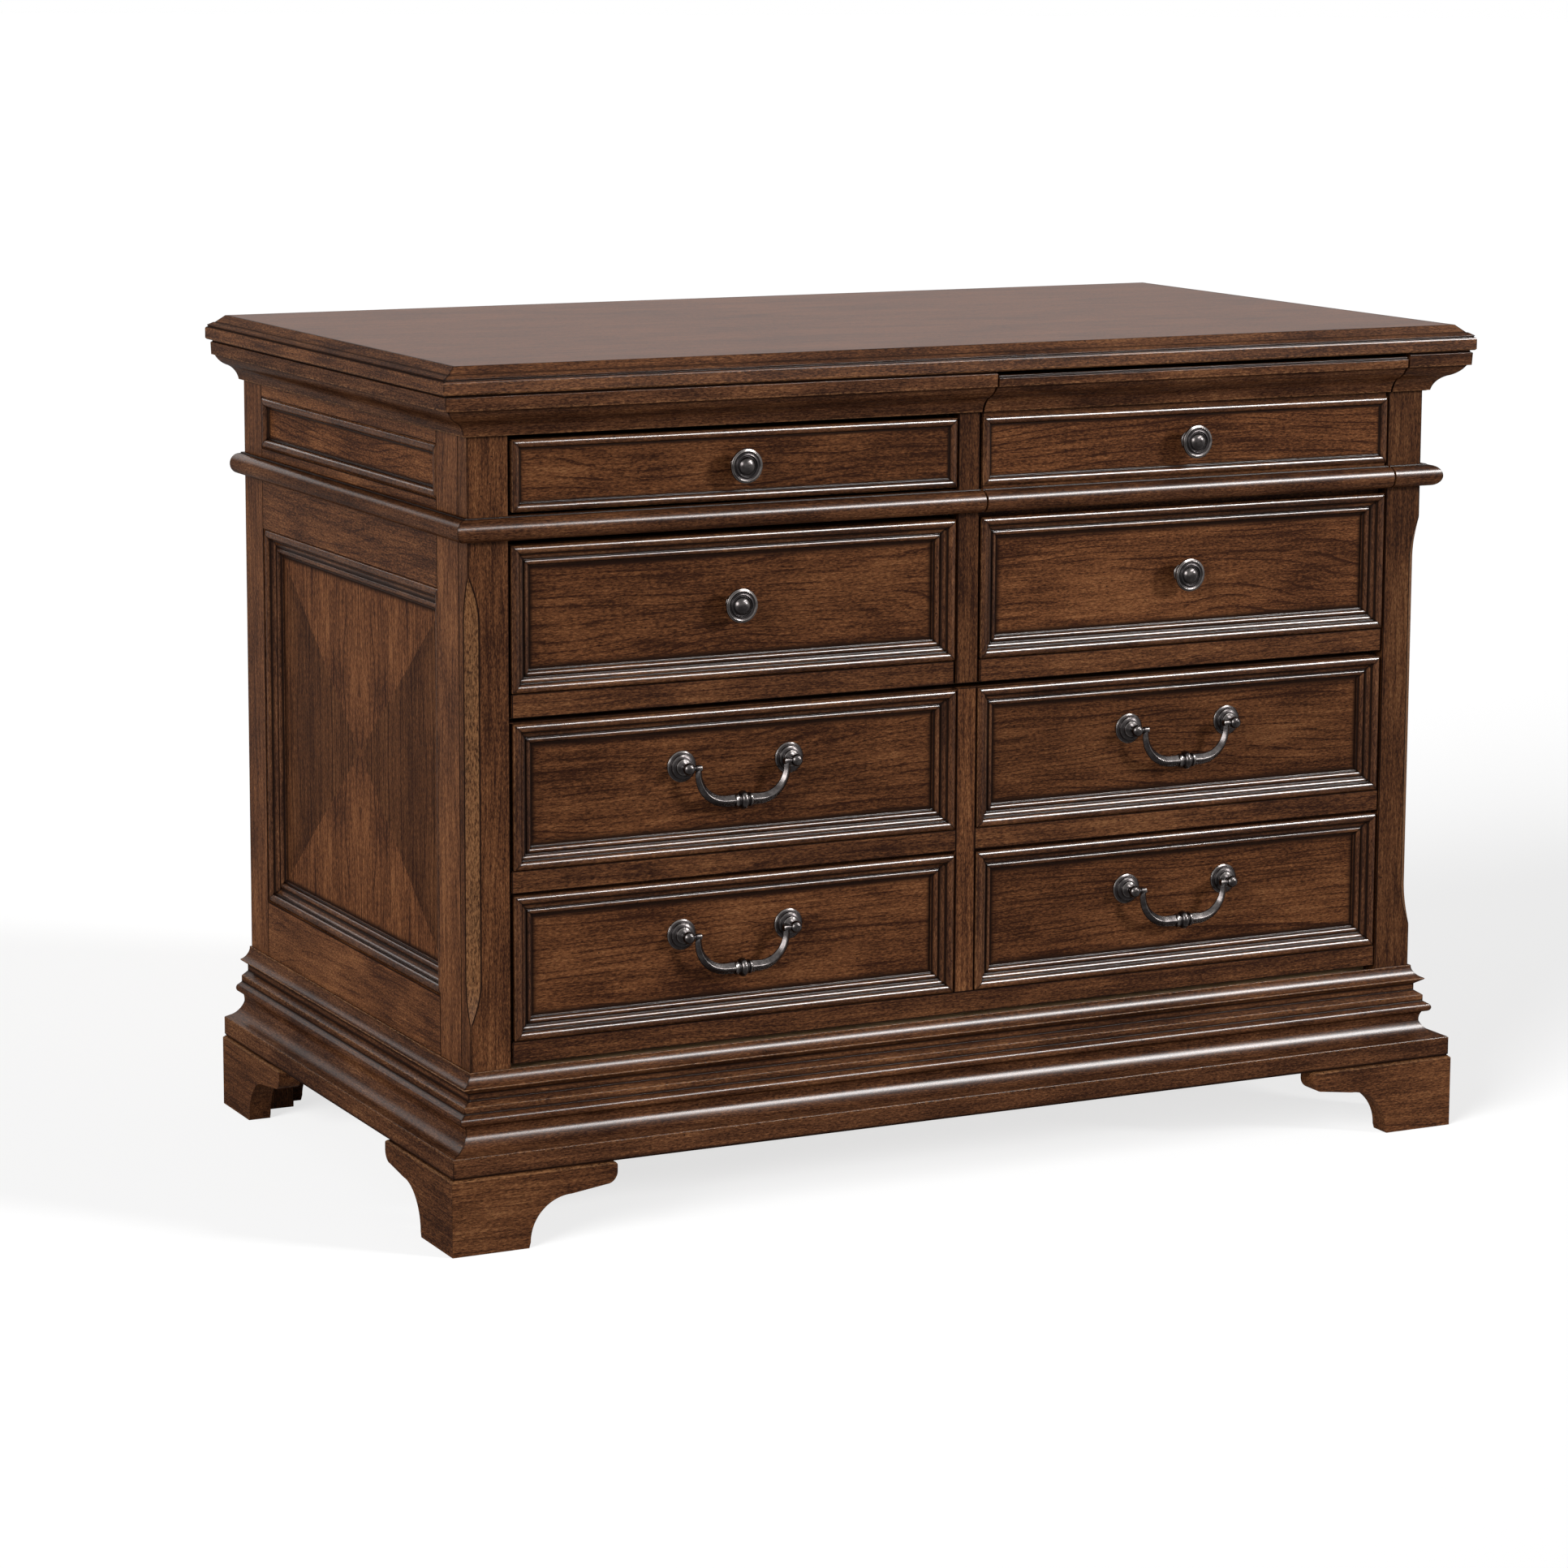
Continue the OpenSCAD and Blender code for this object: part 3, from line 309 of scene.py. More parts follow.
def wood(name, tints, figure=1.0, lacquer=0.08, gloss=0.38, mirrored=False, aged=1.0,
         depth=1.0):
    """Stained wood that follows each board's own grain, with glaze and painted shade, rubbing and
    specks.
    """
    light, dark, glaze, rubbed = (rgba(tint) for tint in tints)
    material, g = new_material(name)
    grain, tone, glaze_and_painted_shade = held(g, "grain", "Vector"), held(g, "tone"), held(g, "glaze")
    if mirrored:
        grain = g.node("ShaderNodeVectorMath", {"operation": "ABSOLUTE"}, grain)
    flecks = g.noise(grain, FLECKS, 5.0, 0.7)
    fibres = g.noise(grain, FIBRES, 3.0, 0.6)
    streaks = g.noise(grain, STREAKS, 3.0, 0.6)
    mottle = g.noise(grain, MOTTLE, 3.0, 0.6)
    pores = g.noise(grain, PORES, 2.0, 0.5).between(0.54, 0.68)
    line = ring_lines(g, grain, streaks)

    # The bare wood
    shade = 0.5 - line * (0.62 * figure)
    for pattern, contrast in ((flecks, 3.1), (fibres, 1.0), (streaks, 1.3), (mottle, 1.5)):
        shade = shade + (pattern - 0.5) * (contrast * depth)
    skin = g.mix(shade.between(-0.15, 1.15), dark, light)
    skin = g.mix(shade.between(0.78, 1.25) * 0.45, skin, rubbed)
    skin = g.scaled(skin, (1.0 + tone * 0.10) * (1 - pores * 0.6))

    # Where the glaze is below 0, the finish is rubbed through
    bare = 0 - glaze_and_painted_shade
    rub = (bare * 1.1 + (flecks - 0.5) * 2.4 * bare.between(0.0, 0.2)).between(0.1, 1.0)
    skin = g.mix(rub * 0.7, skin, g.scaled(rubbed[:3], 0.4 + flecks * 1.1))

    # Above 0 it is a dark veil of glaze and painted shade, and the specks are as dark
    veil = (glaze_and_painted_shade + (flecks - 0.5) * 0.8 * glaze_and_painted_shade).between(0.03, 0.7)
    specks = dark_specks(g, grain) * aged
    skin = g.mix((veil * 0.95).math("MAXIMUM", specks * 0.92), skin, glaze)
    height = flecks * 0.5 - pores * 0.8 - specks * 2.0 - line * 0.3
    finish_material(
        g, height, 0.20, 0.0004, Base_Color=skin, Specular_IOR_Level=0.0,
        Roughness=0.5 + (flecks - 0.5) * 0.25, Coat_Weight=lacquer * (1 - veil * 0.5),
        Coat_Roughness=gloss)
    return material


def plain_wood(name, light, dark):
    """Clear finished inner wood."""
    material, g = new_material(name)
    grain, tone = held(g, "grain", "Vector"), held(g, "tone")
    across = g.node("ShaderNodeSeparateXYZ", None, grain, output="Y")
    fibres = g.noise(grain, INNER_FIBRES, 3.0, 0.6)
    bend = g.noise(grain, BEND, 2.0)
    rings = (across * INNER_RINGS + bend * INNER_BEND).math("FRACT").between(0.55, 0.98)
    shade = 0.75 + (fibres - 0.5) * 1.1 - rings * 0.45
    skin = g.mix(shade.between(0.0, 1.0), rgba(dark), rgba(light))
    skin = g.scaled(skin, 1.0 + tone * 0.07)
    finish_material(g, fibres, 0.15, 0.0003, Base_Color=skin,
                    Roughness=0.55 + (fibres - 0.5) * 0.2, Specular_IOR_Level=0.35)
    return material


def metal(name, bright, dark, roughness, brushed):
    """Metal with a dark patina that is rubbed bright on its raised parts, and painted light:
    lighter where it faces up, darker where it faces down.
    """
    material, g = new_material(name)
    place = g.node("ShaderNodeTexCoord", None, output="Object")
    glaze_and_painted_shade = held(g, "glaze")
    cloud = g.noise(place, (190, 190, 190), 4.0, 0.65)
    fine = g.noise(place, brushed, 2.0, 0.6)
    # Patina and wear, with painted light and shade from how far each face points up or down
    wear_and_painted_light = (cloud * 0.9 - 0.22 - glaze_and_painted_shade * 0.9).between(0.05, 0.85)
    skin = g.mix(wear_and_painted_light, rgba(dark), rgba(bright))
    finish_material(g, fine + cloud * 0.6, 0.12, 0.0003, Base_Color=skin,
                    Roughness=roughness + (fine - 0.5) * 0.18 + glaze_and_painted_shade * 0.15, Metallic=1.0)
    return material


def pale_floor(name, tint):
    """A floor that the camera sees nearly white, with the chest's shadow left on it."""
    material, g = new_material(name)
    place = g.node("ShaderNodeTexCoord", None, output="Object")
    cloud = g.noise(place, (6, 6, 6), 2.0)
    skin = g.mix(cloud, rgba(tint), rgba([c * 0.985 for c in tint]))
    ground = g.node("ShaderNodeBsdfDiffuse", None, skin, 1.0)
    glow = g.node("ShaderNodeEmission", None, WHITE, 1.0)
    seen = g.node("ShaderNodeLightPath", None, output="Is Camera Ray")
    shader = g.node("ShaderNodeMixShader", None, seen * 0.72, ground, glow)
    g.node("ShaderNodeOutputMaterial", None, shader)
    return material


def finishes(c):
    """Each finish: the function that makes it, and what that is told after the name."""
    fields = (c.field_light, c.field_dark, c.glaze, c.rubbed)
    frames = (c.frame_light, c.frame_dark, c.glaze, c.rubbed)
    moulded = (c.mould_light, c.mould_dark, c.glaze, c.rubbed)
    tops = (c.top_light, c.top_dark, c.glaze, c.rubbed)
    return {
        "field": (wood, fields),
        "framing": (wood, frames, 0.6, 0.11),
        "edging": (wood, frames, 0.4, 0.12, 0.30),
        "moulded": (wood, moulded, 0.3, 0.20, 0.25),
        "banded": (wood, moulded, 0.3, 0.09, 0.27),
        "matched": (wood, fields, 1.3, 0.08, 0.38, True),
        "polished": (wood, tops, 0.25, 0.49, 0.34, False, 0.3, 0.5),
        "carcase": (plain_wood, c.carcase_light, c.carcase_dark),
        "bronze": (metal, c.bronze, c.bronze_dark, 0.25, (900, 900, 900)),
        "steel": (metal, c.steel, [v * 0.72 for v in c.steel], 0.34, (1500, 40, 1500)),
        "floor": (pale_floor, c.floor),
    }


PROFILED = ("moulded", "banded")
GLEAMING = (*PROFILED, "edging")
METALS = ("bronze", "steel")
SHOW_WOOD = "show_wood"
SLOTS = {"carcase": "carcase_wood", "bronze": "pull_metal", "steel": "slide_steel"}
MATERIALS = {}


def material_named(name):
    """The finish of that name, made on its first use."""
    if name not in MATERIALS:
        maker, *told = finishes(bpy.context.scene.chest_colours)[name]
        MATERIALS[name] = maker(name, *told)
    return MATERIALS[name]


# Outlines of the mouldings in millimetres: how far out from the wall, then how high.
# Each goes once round its section and starts and ends at the wall

def arc(a, b, rise, steps=12):
    """Points of a round stretch from a to b. A positive rise bulges to the left."""
    a, b = np.array(a, float), np.array(b, float)
    chord = np.linalg.norm(b - a)
    radius = (chord * chord / 4 + rise * rise) / (2 * abs(rise))
    along = (b - a) / chord
    left = np.array([-along[1], along[0]])
    side = 1 if rise > 0 else -1
    centre = (a + b) / 2 + left * (rise - side * radius)
    half = math.asin(min(1, chord / 2 / radius))
    return [tuple(centre + radius * (along * math.sin(t) + left * side * math.cos(t)))
            for t in np.linspace(-half, half, steps + 1)]


def edge_outline():
    """The top's edge: a fillet, a step and a wide chamfer."""
    w, b, t = 15.5, 11.8, 23.8
    return [(0, 0), (w * .92, 0), (w, w * .08), (w, b - w * .08), (w * .955, b),
            (w * .865, b + .6), (w * .865, b + 1.3), (w * .915, b + 2.2),
            (w * .594, b + 5), (w * .516, b + 5), (0, t)]


def cornice_outline(head):
    """A hollow over a small round, under a flat band."""
    o, f = 33.5, 26.0
    return [(0, 0), (2.5, 0), (2.5, .6), *arc((5, .6), (16, f * .57), 2.2),
            *arc((16, f * .57), (29.3, f * .973), -1.6)[1:], (o - 3, f), (o - .6, f),
            (o, head - 2.4), (o - 2, head - 1.6), (o - 2, head), (0, head)]


def bead_outline():
    """A half-round band on a narrow wall."""
    o, h = 15.5, 20.9
    r, wall = h * .475, o * .26
    turn = [math.radians(a) for a in range(-90, 91, 9)]
    return [(0, 0), *((o - r + r * math.cos(a), r + r * math.sin(a)) for a in turn),
            (wall, 2 * r), (wall, h), (0, h)]


def base_outline():
    """A flat band, a scotia, a torus and a cap."""
    b, h = 19.0, 88.0
    return [(0, 0), (28.6, 0), (28.6, 1.1), (29.5, 1.5), (29.5, b - .6), (28.9, b),
            *arc((24.5, b + 1), (8.4, b + 13.6), 2.6),
            *arc((8.4, b + 13.6), (11, b + 24), 1)[1:],
            *arc((11.6, b + 24), (11.6, b + 32), -5.4, 16),
            (10.8, b + 34), (10.8, b + 40), (4.2, b + 44.4), (4.2, b + 50.6),
            (11.2, b + 55.4), (11.9, b + 56), *arc((11.9, b + 56.8), (2, b + 66.8), 2),
            (2, h), (0, h)]


def stepped_outline(w, d):
    """The fronts' moulding: how far in, then how far above the field."""
    kx, kz = w / 19.5, d / 9

    def at(x, z):
        return x * kx, z * kz

    return [(0, 0), at(0, 9.4), *arc(at(.3, 9.7), at(7, 9.3), 2 * kx), at(7.2, 7.8),
            at(8.2, 7.8), *arc(at(8.4, 7.6), at(12.4, 4.8), -kx, 6), at(12.4, 3.6),
            at(13.3, 3.6), *arc(at(13.6, 4.1), at(17.7, 3.2), 1.2 * kx, 10),
            at(18.1, 1.4), at(19.5, 1.1), (w, 0)]


def small_outline(w, d):
    """The top row's moulding: a round and a fillet."""
    k = w / 8.4
    return [(0, 0), (0, d + k), *arc((.3 * k, d + 1.2 * k), (w - 1.6 * k, d + .8 * k), 1.9 * k),
            (w - 1.2 * k, d / 2), (w, d / 2), (w, 0)]


# Turns in radians: below the first an outline runs on, and from the second a mark is full.
# Then how far in millimetres a crest is rubbed, and how much
RUNS_ON, FULL_TURN, CREST_REACH, CREST_RUB = 0.4, 1.3, 1.1, 0.7


def strongest(marks, reach, place):
    """The strongest mark at a place. Each mark fades out within the reach."""
    return max([s * max(0, 1 - np.linalg.norm(place - q) / reach) for q, s in marks] or [0])


def filled_in(points, reach):
    """Adds points on the long stretches, where the glaze of their ends fades out."""
    rows = [points[0]]
    for a, b in zip(points, points[1:]):
        far = np.linalg.norm(b - a)
        if far > 2 * reach:
            rows += [a + (b - a) * reach / far, b + (a - b) * reach / far]
        elif far > reach:
            rows.append((a + b) / 2)
        rows.append(b)
    return rows


def softened(outline, radius, reach, steps=3):
    """Rounds an outline's corners. Returns the points and how dark each is: glaze and painted
    shade in the quirks, patina there on metal, and below 0 on the crests, where it is rubbed off."""
    ring = [np.array(p, float) for p in outline]
    area = sum(a[0] * b[1] - b[0] * a[1] for a, b in zip(ring, ring[1:] + ring[:1]))
    points, quirks, crests = [ring[0]], [], []
    for before, here, after in zip(ring, ring[1:], ring[2:]):
        u, v = before - here, after - here
        lu, lv = np.linalg.norm(u), np.linalg.norm(v)
        u, v = u / lu, v / lv
        turn = math.acos(max(-1, min(1, -float(u @ v))))
        if turn < RUNS_ON:
            points.append(here)
            continue
        hollow = (v[0] * u[1] - v[1] * u[0]) * area < 0
        (quirks if hollow else crests).append((here, min(1, turn / FULL_TURN)))
        cut = radius * math.tan(min(turn, 2.4) / 2)
        a, b = here + u * min(cut, 0.42 * lu), here + v * min(cut, 0.42 * lv)
        for t in np.linspace(0, 1, steps + 1):
            points.append(a * (1 - t) ** 2 + here * 2 * t * (1 - t) + b * t * t)
    points = filled_in([*points, ring[-1]], reach)
    # Quirks are painted dark: glaze, and painted shade in the hollow
    dark = [strongest(quirks, reach, p) for p in points]
    return np.array(points), np.array(
        [d if d > 0.02 else -CREST_RUB * strongest(crests, CREST_REACH, p)
         for d, p in zip(dark, points)])


# Pieces

# Glaze on rounded arrises and in mitres, and on chamfers, where it is rubbed off; on the feet's
# top edges this rubbing is also a painted highlight
ARRIS_GLAZE, MITRE_GLAZE, CHAMFER_GLAZE = 0.8, 0.55, -0.5
UP_FACING_PAINTED_LIGHT = 0.24  # Painted light: how much lighter metal is painted where it faces up, and darker where it faces down
SHARP = 0.5  # Edges that turn more than this, in radians, are rounded
SMOOTH = math.radians(50)  # Faces that meet at less than this are smoothed as one
TURNED_ROUND, TURNED_REACH = 0.35, 0.7  # Rounding in millimetres, and a share of the glaze
FACE_ORDER = Vector((1.0, 7.3, 53.9))  # Sorts faces the same way in each run
# How dark a field's rim is, from its edge in: glaze, and painted shade beside the moulding
RIM_GLAZE_AND_SHADE = ((0.0, 1.0), (0.12, 0.85), (0.3, 0.5), (0.6, 0.18), (1.0, 0.0))
LEAF_TONES = (2.6, -2.4)
LEAF_PLACES = (1.7, 4.0)  # Where in the grain's depth the leaves of a matched field lie


def chest_sizes():
    """The sizes that the user sets."""
    return bpy.context.scene.chest_sizes


def quarters(across, upright, width, height):
    """The four sides of a field: the way along each, the way in, its length and the other."""
    return ((across, upright, width, height), (upright, -across, height, width),
            (-across, -upright, width, height), (-upright, across, height, width))


def shells(shape):
    """The vertices of each shell of a bmesh, in their own order."""
    left = set(shape.verts)
    while left:
        first = min(left, key=lambda v: v.index)
        shell, todo = {first}, [first]
        while todo:
            for edge in todo.pop().link_edges:
                for v in edge.verts:
                    if v not in shell:
                        shell.add(v)
                        todo.append(v)
        left -= shell
        yield sorted(shell, key=lambda v: v.index)


def merged(node):
    """A copy of a CAD node with its loose triangles merged into clean faces."""
    shape = bmesh.new()
    shape.from_mesh(frame["nodes"][node].data)
    bmesh.ops.remove_doubles(shape, verts=shape.verts, dist=2e-6)
    bmesh.ops.dissolve_limit(
        shape, angle_limit=0.004, verts=shape.verts, edges=shape.edges)
    shape.verts.index_update()
    shape.faces.index_update()
    return shape


def rounded_off(shape, edges, width):
    """Rounds some edges of a bmesh and returns the new faces."""
    return bmesh.ops.bevel(shape, geom=edges, offset=width, offset_type="OFFSET", segments=2,
                           profile=0.5, affect="EDGES", clamp_overlap=True)["faces"]


class Piece:
    """The shells of one piece, with the grain, tone and glaze at each corner."""

    def __init__(self, name, tint=0.0):
        self.name = name
        self.tint = tint
        self.draw = random.Random(name)
        self.points, self.faces = [], []
        self.grain, self.tone, self.glaze = [], [], []

    def drawn_offset(self):
        """A place in the grain for one more board."""
        return [self.draw.uniform(0, 9) for _ in range(3)]

    def drawn_tone(self):
        """How light one more board is."""
        return self.draw.uniform(-1, 1) + self.tint

    def add(self, points, faces, along, across, glaze=None, face_glaze=None, offset=None,
            tone=None):
        """Adds a closed shell and turns its faces outwards. The glaze is given for each
        point or for each face."""
        points = np.asarray(points, float)
        axes = np.stack([along, across, np.cross(along, across)])
        offset = self.drawn_offset() if offset is None else offset
        tone = self.drawn_tone() if tone is None else tone
        grain = points @ axes.T + np.array(offset)
        centre = points.mean(0)
        volume = sum(
            np.dot(points[f[0]] - centre,
                   np.cross(points[f[i]] - centre, points[f[i + 1]] - centre))
            for f in faces for i in range(1, len(f) - 1))
        start = len(self.points)
        self.points.extend(points)
        for n, face in enumerate(faces):
            face = face if volume > 0 else face[::-1]
            self.faces.append([start + i for i in face])
            self.grain.extend(grain[i] for i in face)
            self.tone.extend([tone] * len(face))
            self.glaze.extend(glaze[i] if face_glaze is None else face_glaze[n] for i in face)

    def board(self, low, high, along=None, across=None):
        """A board between two corners with rounded arrises."""
        low, high = np.array(low, float), np.array(high, float)
        shape = bmesh.new()
        bmesh.ops.create_cube(shape, size=1)
        for v in shape.verts:
            v.co = Vector((low + high) / 2 + np.array(v.co) * (high - low))
        self.shape(shape, along, across)

    def shape(self, shape, along=None, across=None, arris=None):
        """Adds each shell of a bmesh, with its sharp edges rounded, and frees it. The rounded
        edges hold glaze, and the other faces what their layer says. Where no way is given,
        the grain runs the longest way."""
        arris = chest_sizes().arris if arris is None else arris
        own = shape.faces.layers.float.get("glaze")
        edges = [e for e in shape.edges if e.is_manifold and e.calc_face_angle(0) > SHARP]
        rounded = set(rounded_off(shape, edges, arris)) if arris and edges else ()
        for order in shells(shape):
            place = {v: i for i, v in enumerate(order)}
            points = np.array([v.co for v in order])
            faces = sorted({f for v in order for f in v.link_faces}, key=lambda f: f.index)
            _, middle, longest = np.argsort(points.max(0) - points.min(0))
            self.add(points, [[place[v] for v in f.verts] for f in faces],
                     np.eye(3)[longest] if along is None else along,
                     np.eye(3)[middle] if across is None else across,
                     face_glaze=[ARRIS_GLAZE if f in rounded else f[own] if own else 0.0
                                 for f in faces])
        shape.free()

    def cad(self, node, **how):
        """Adds a copy of a CAD node."""
        self.shape(merged(node), **how)

    def run(self, outline, origin, along, out, up, start, end, mitre_start=0, mitre_end=0):
        """A length of moulding. A mitre of 1 opens outwards and -1 closes inwards."""
        sizes = chest_sizes()
        points, glaze = softened(outline, sizes.moulding_round / MM, sizes.quirk_reach / MM)
        points = points * MM
        reach = sizes.mitre_reach
        stops = ((start, -mitre_start, 1), (start + reach, -mitre_start, 0),
                 (end - reach, mitre_end, 0), (end, mitre_end, 1))
        rows, dark = [], []
        for at, mitre, near in stops:
            rows.append(origin + np.outer(at + mitre * points[:, 0], along)
                        + np.outer(points[:, 0], out) + np.outer(points[:, 1], up))
            dark.append(np.where(glaze < 0, glaze, glaze + MITRE_GLAZE * near * abs(mitre)))
        n = len(points)
        last = (len(stops) - 1) * n
        faces = [[k + i, k + (i + 1) % n, k + n + (i + 1) % n, k + n + i]
                 for k in range(0, last, n) for i in range(n)]
        faces += [list(range(n))[::-1], [last + i for i in range(n)]]
        self.add(np.vstack(rows), faces, along, up, np.concatenate(dark))

    def ring(self, outline, centre, across, upright, out, width, height):
        """Four mitred lengths around a field."""
        for a, b, long, away in quarters(across, upright, width, height):
            half = (long - GAP) / 2
            self.run(outline, centre - b * away / 2, a, b, out, -half, half, -1, -1)

    def field(self, centre, across, upright, out, width, height, veneer, rim, matched=False):
        """A thin veneered field with a dark rim of glaze and painted shade. Matched leaves meet
        on its diagonals.
        """
        offset = None if matched else self.drawn_offset()
        tone = self.drawn_tone()
        for k, (a, b, long, away) in enumerate(quarters(across, upright, width, height)):
            points, glaze = [], []
            for share, dark in RIM_GLAZE_AND_SHADE:
                d = share * rim
                for s in (-1, 1):
                    points.append(centre + a * s * (long / 2 - d) - b * (away / 2 - d))
                    glaze.append(dark)
            points.append(centre)
            glaze.append(0)
            n = len(points)
            last = n - 3
            edge = [*range(1, n - 1, 2), n - 1, *range(last, -1, -2)]
            faces = [[i, i + 1, i + 3, i + 2] for i in range(0, last, 2)]
            faces += [[last, last + 1, n - 1], [n + i for i in edge[::-1]]]
            faces += [[p, n + p, n + q, q] for p, q in zip(edge, edge[1:] + edge[:1])]
            points = np.array([p + out * veneer for p in points] + points)
            glaze += glaze
            if not matched:
                self.add(points, faces, across, upright, glaze, offset=offset, tone=tone)
                continue
            leaf = k % 2
            along = a if leaf else -b
            over = np.cross(out, along)
            depth = centre @ np.cross(along, over) - LEAF_PLACES[leaf]
            self.add(points, faces, along, over, glaze,
                     offset=-np.array([centre @ along, centre @ over, depth]),
                     tone=LEAF_TONES[leaf])

    def turned(self, outline, origin, axis, steps):
        """A turned shell: outline in millimetres gives radius, then place along the axis."""
        points, glaze = softened(
            outline, TURNED_ROUND, chest_sizes().quirk_reach / MM * TURNED_REACH, 2)
        side = np.cross(axis, X if abs(axis[0]) < 0.9 else Z)
        side = side / np.linalg.norm(side)
        other = np.cross(axis, side)
        inner = points[1:-1] * MM
        verts = [origin + axis * points[0][1] * MM]
        dark = [0.0]
        for (r, h), d in zip(inner, glaze[1:-1]):
            for k in range(steps):
                t = 2 * math.pi * k / steps
                verts.append(origin + axis * h + (side * math.cos(t) + other * math.sin(t)) * r)
                dark.append(d)
        verts.append(origin + axis * points[-1][1] * MM)
        dark.append(0.0)
        last = len(verts) - 1
        faces = []
        for k in range(steps):
            m = (k + 1) % steps
            faces.append([0, 1 + m, 1 + k])
            for row in range(len(inner) - 1):
                a, b = 1 + row * steps, 1 + (row + 1) * steps
                faces.append([a + k, a + m, b + m, b + k])
            a = 1 + (len(inner) - 1) * steps
            faces.append([a + k, a + m, last])
        self.add(verts, faces, axis, side, dark)

    def mesh(self, finish):
        """The mesh of the piece, with its attributes and its finish."""
        mesh = bpy.data.meshes.new(self.name)
        mesh.from_pydata([tuple(p) for p in self.points], [], self.faces)
        # Painted light on bronze: lighter where it faces up, darker where it faces down
        if finish == "bronze":
            self.glaze = [d - UP_FACING_PAINTED_LIGHT * mesh.vertices[loop.vertex_index].normal.z
                          for d, loop in zip(self.glaze, mesh.loops)]
        for name, kind, key, data in (("grain", "FLOAT_VECTOR", "vector", self.grain),
                                      ("tone", "FLOAT", "value", self.tone),
                                      ("glaze", "FLOAT", "value", self.glaze)):
            layer = mesh.attributes.new(name, kind, "CORNER")
            layer.data.foreach_set(key, np.asarray(data, np.float32).ravel())
        mesh.materials.append(material_named(finish))
        return mesh

    def build(self, body, finish, *nodes):
        """Puts the piece in place of its CAD nodes."""
        set_in_place(self.mesh(finish), self.name, body, finish, nodes)

    def template(self, finish):
        """An object for a tree to repeat, which is removed after that."""
        made = bpy.data.objects.new(self.name, self.mesh(finish))
        bpy.context.scene.collection.objects.link(made)
        return made


def set_in_place(mesh, name, body, finish, nodes):
    """Smooths a mesh with its flat faces kept flat, and hands it to the frame."""
    mesh.polygons.foreach_set("use_smooth", [True] * len(mesh.polygons))
    mesh.set_sharp_from_angle(angle=SMOOTH)
    piece = bpy.data.objects.new(name, mesh)
    bpy.context.scene.collection.objects.link(piece)
    flatten = piece.modifiers.new("Flat faces", "WEIGHTED_NORMAL")
    flatten.keep_sharp = True
    flatten.weight = 100
    piece.data = evaluated_copy(piece)
    piece.modifiers.clear()
    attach(piece, body)
    if nodes:
        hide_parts(*nodes)
    SLOTS.get(finish, SHOW_WOOD)


def evaluated_copy(piece):
    """The mesh that an object's modifiers give."""
    graph = bpy.context.evaluated_depsgraph_get()
    graph.update()
    return bpy.data.meshes.new_from_object(
        piece.evaluated_get(graph), preserve_all_data_layers=True, depsgraph=graph)


def front_band(name, node, outline, z, start, end, mitres=(0, 0), tint=0.0, body="case"):
    """A length of moulding along the front of the case, in place of its node."""
    band = Piece(f"{name}_wood", tint)
    band.run(outline, np.array([0, FRONT_Y, z]), X, -Y, Z, start, end, *mitres)
    band.build(body, "banded", node)


def side_bands(name, node, outline, z):
    """The same moulding along both sides, mitred at the front."""
    bands = Piece(f"{name}_wood")
    for side in (-1, 1):
        bands.run(outline, np.array([side * CASE_X, 0, z]), -Y, side * X, Z,
                  -BACK_Y, -FRONT_Y, 0, 1)
    bands.build("case", "banded", node)


def cut_band(kind, outline, moving_outline, tint=0.0, moving_tint=0.0):
    """A band around the case whose right front length rides on the tall pull-out."""
    low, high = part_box(f"{kind}_front")
    z = low.z
    front_band(f"{kind}_front", f"{kind}_front", outline, z, -CASE_X, high.x, (1, 0), tint)
    front_band(f"{kind}_end", f"{kind}_front_end", outline, z,
               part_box(f"{kind}_front_end")[0].x, CASE_X, (0, 1))
    side_bands(f"{kind}_sides", f"{kind}_sides", outline, z)
    start, end = (corner.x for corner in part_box(f"printer_{kind}"))
    front_band(f"{kind}_pullout", f"printer_{kind}", moving_outline, z, start, end,
               tint=moving_tint, body="printer_pullout")


class Step:
    """What the operators share."""

    bl_options = {"REGISTER", "UNDO"}


class CHEST_OT_top(Step, bpy.types.Operator):
    """Veneered top with its moulded edge"""

    bl_idname = "chest.top"
    bl_label = "Top"

    def execute(self, context):
        low, high = np.array(TOP_LOW), np.array(TOP_HIGH)
        skin, inset = 0.0003, 0.0002
        panel = Piece("top_board")
        panel.board(low, high - Z * skin, X, Y)
        panel.field(np.array([0, 0, high[2] - skin]), X, Y, Z, high[0] - low[0] - inset,
                    high[1] - low[1] - inset, skin, chest_sizes().rim * 0.5)
        panel.build("case", "polished", "top_panel")
        for place, tint, sides in (("front", 2.0, ((0, low[1], -Y),)),
                                   ("back", 1.0, ((0, high[1], Y),)),
                                   ("sides", 3.0, ((-high[0], 0, -X), (high[0], 0, X)))):
            edge = Piece(f"top_edge_{place}_wood", tint)
            for x, y, out in sides:
                along, start, end = (X, low[0], high[0]) if y else (Y, low[1], high[1])
                edge.run(edge_outline(), np.array([x, y, low[2]]), along, out, Z,
                         start, end, 1, 1)
            edge.build("case", "edging", f"top_edge_{place}")
        return {"FINISHED"}


class CHEST_OT_cornice(Step, bpy.types.Operator):
    """Cornice lengths on the case and on the tall pull-out"""

    bl_idname = "chest.cornice"
    bl_label = "Cornice"

    def execute(self, context):
        full, moving = (
            cornice_outline((high.z - low.z) / MM)
            for low, high in (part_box("cornice_front"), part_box("printer_cornice")))
        cut_band("cornice", full, moving, 1.5, 1.0)
        return {"FINISHED"}


class CHEST_OT_bead(Step, bpy.types.Operator):
    """Half-round bead band on the case and on the tall pull-out"""

    bl_idname = "chest.bead"
    bl_label = "Bead band"

    def execute(self, context):
        cut_band("bead", bead_outline(), bead_outline())
        return {"FINISHED"}


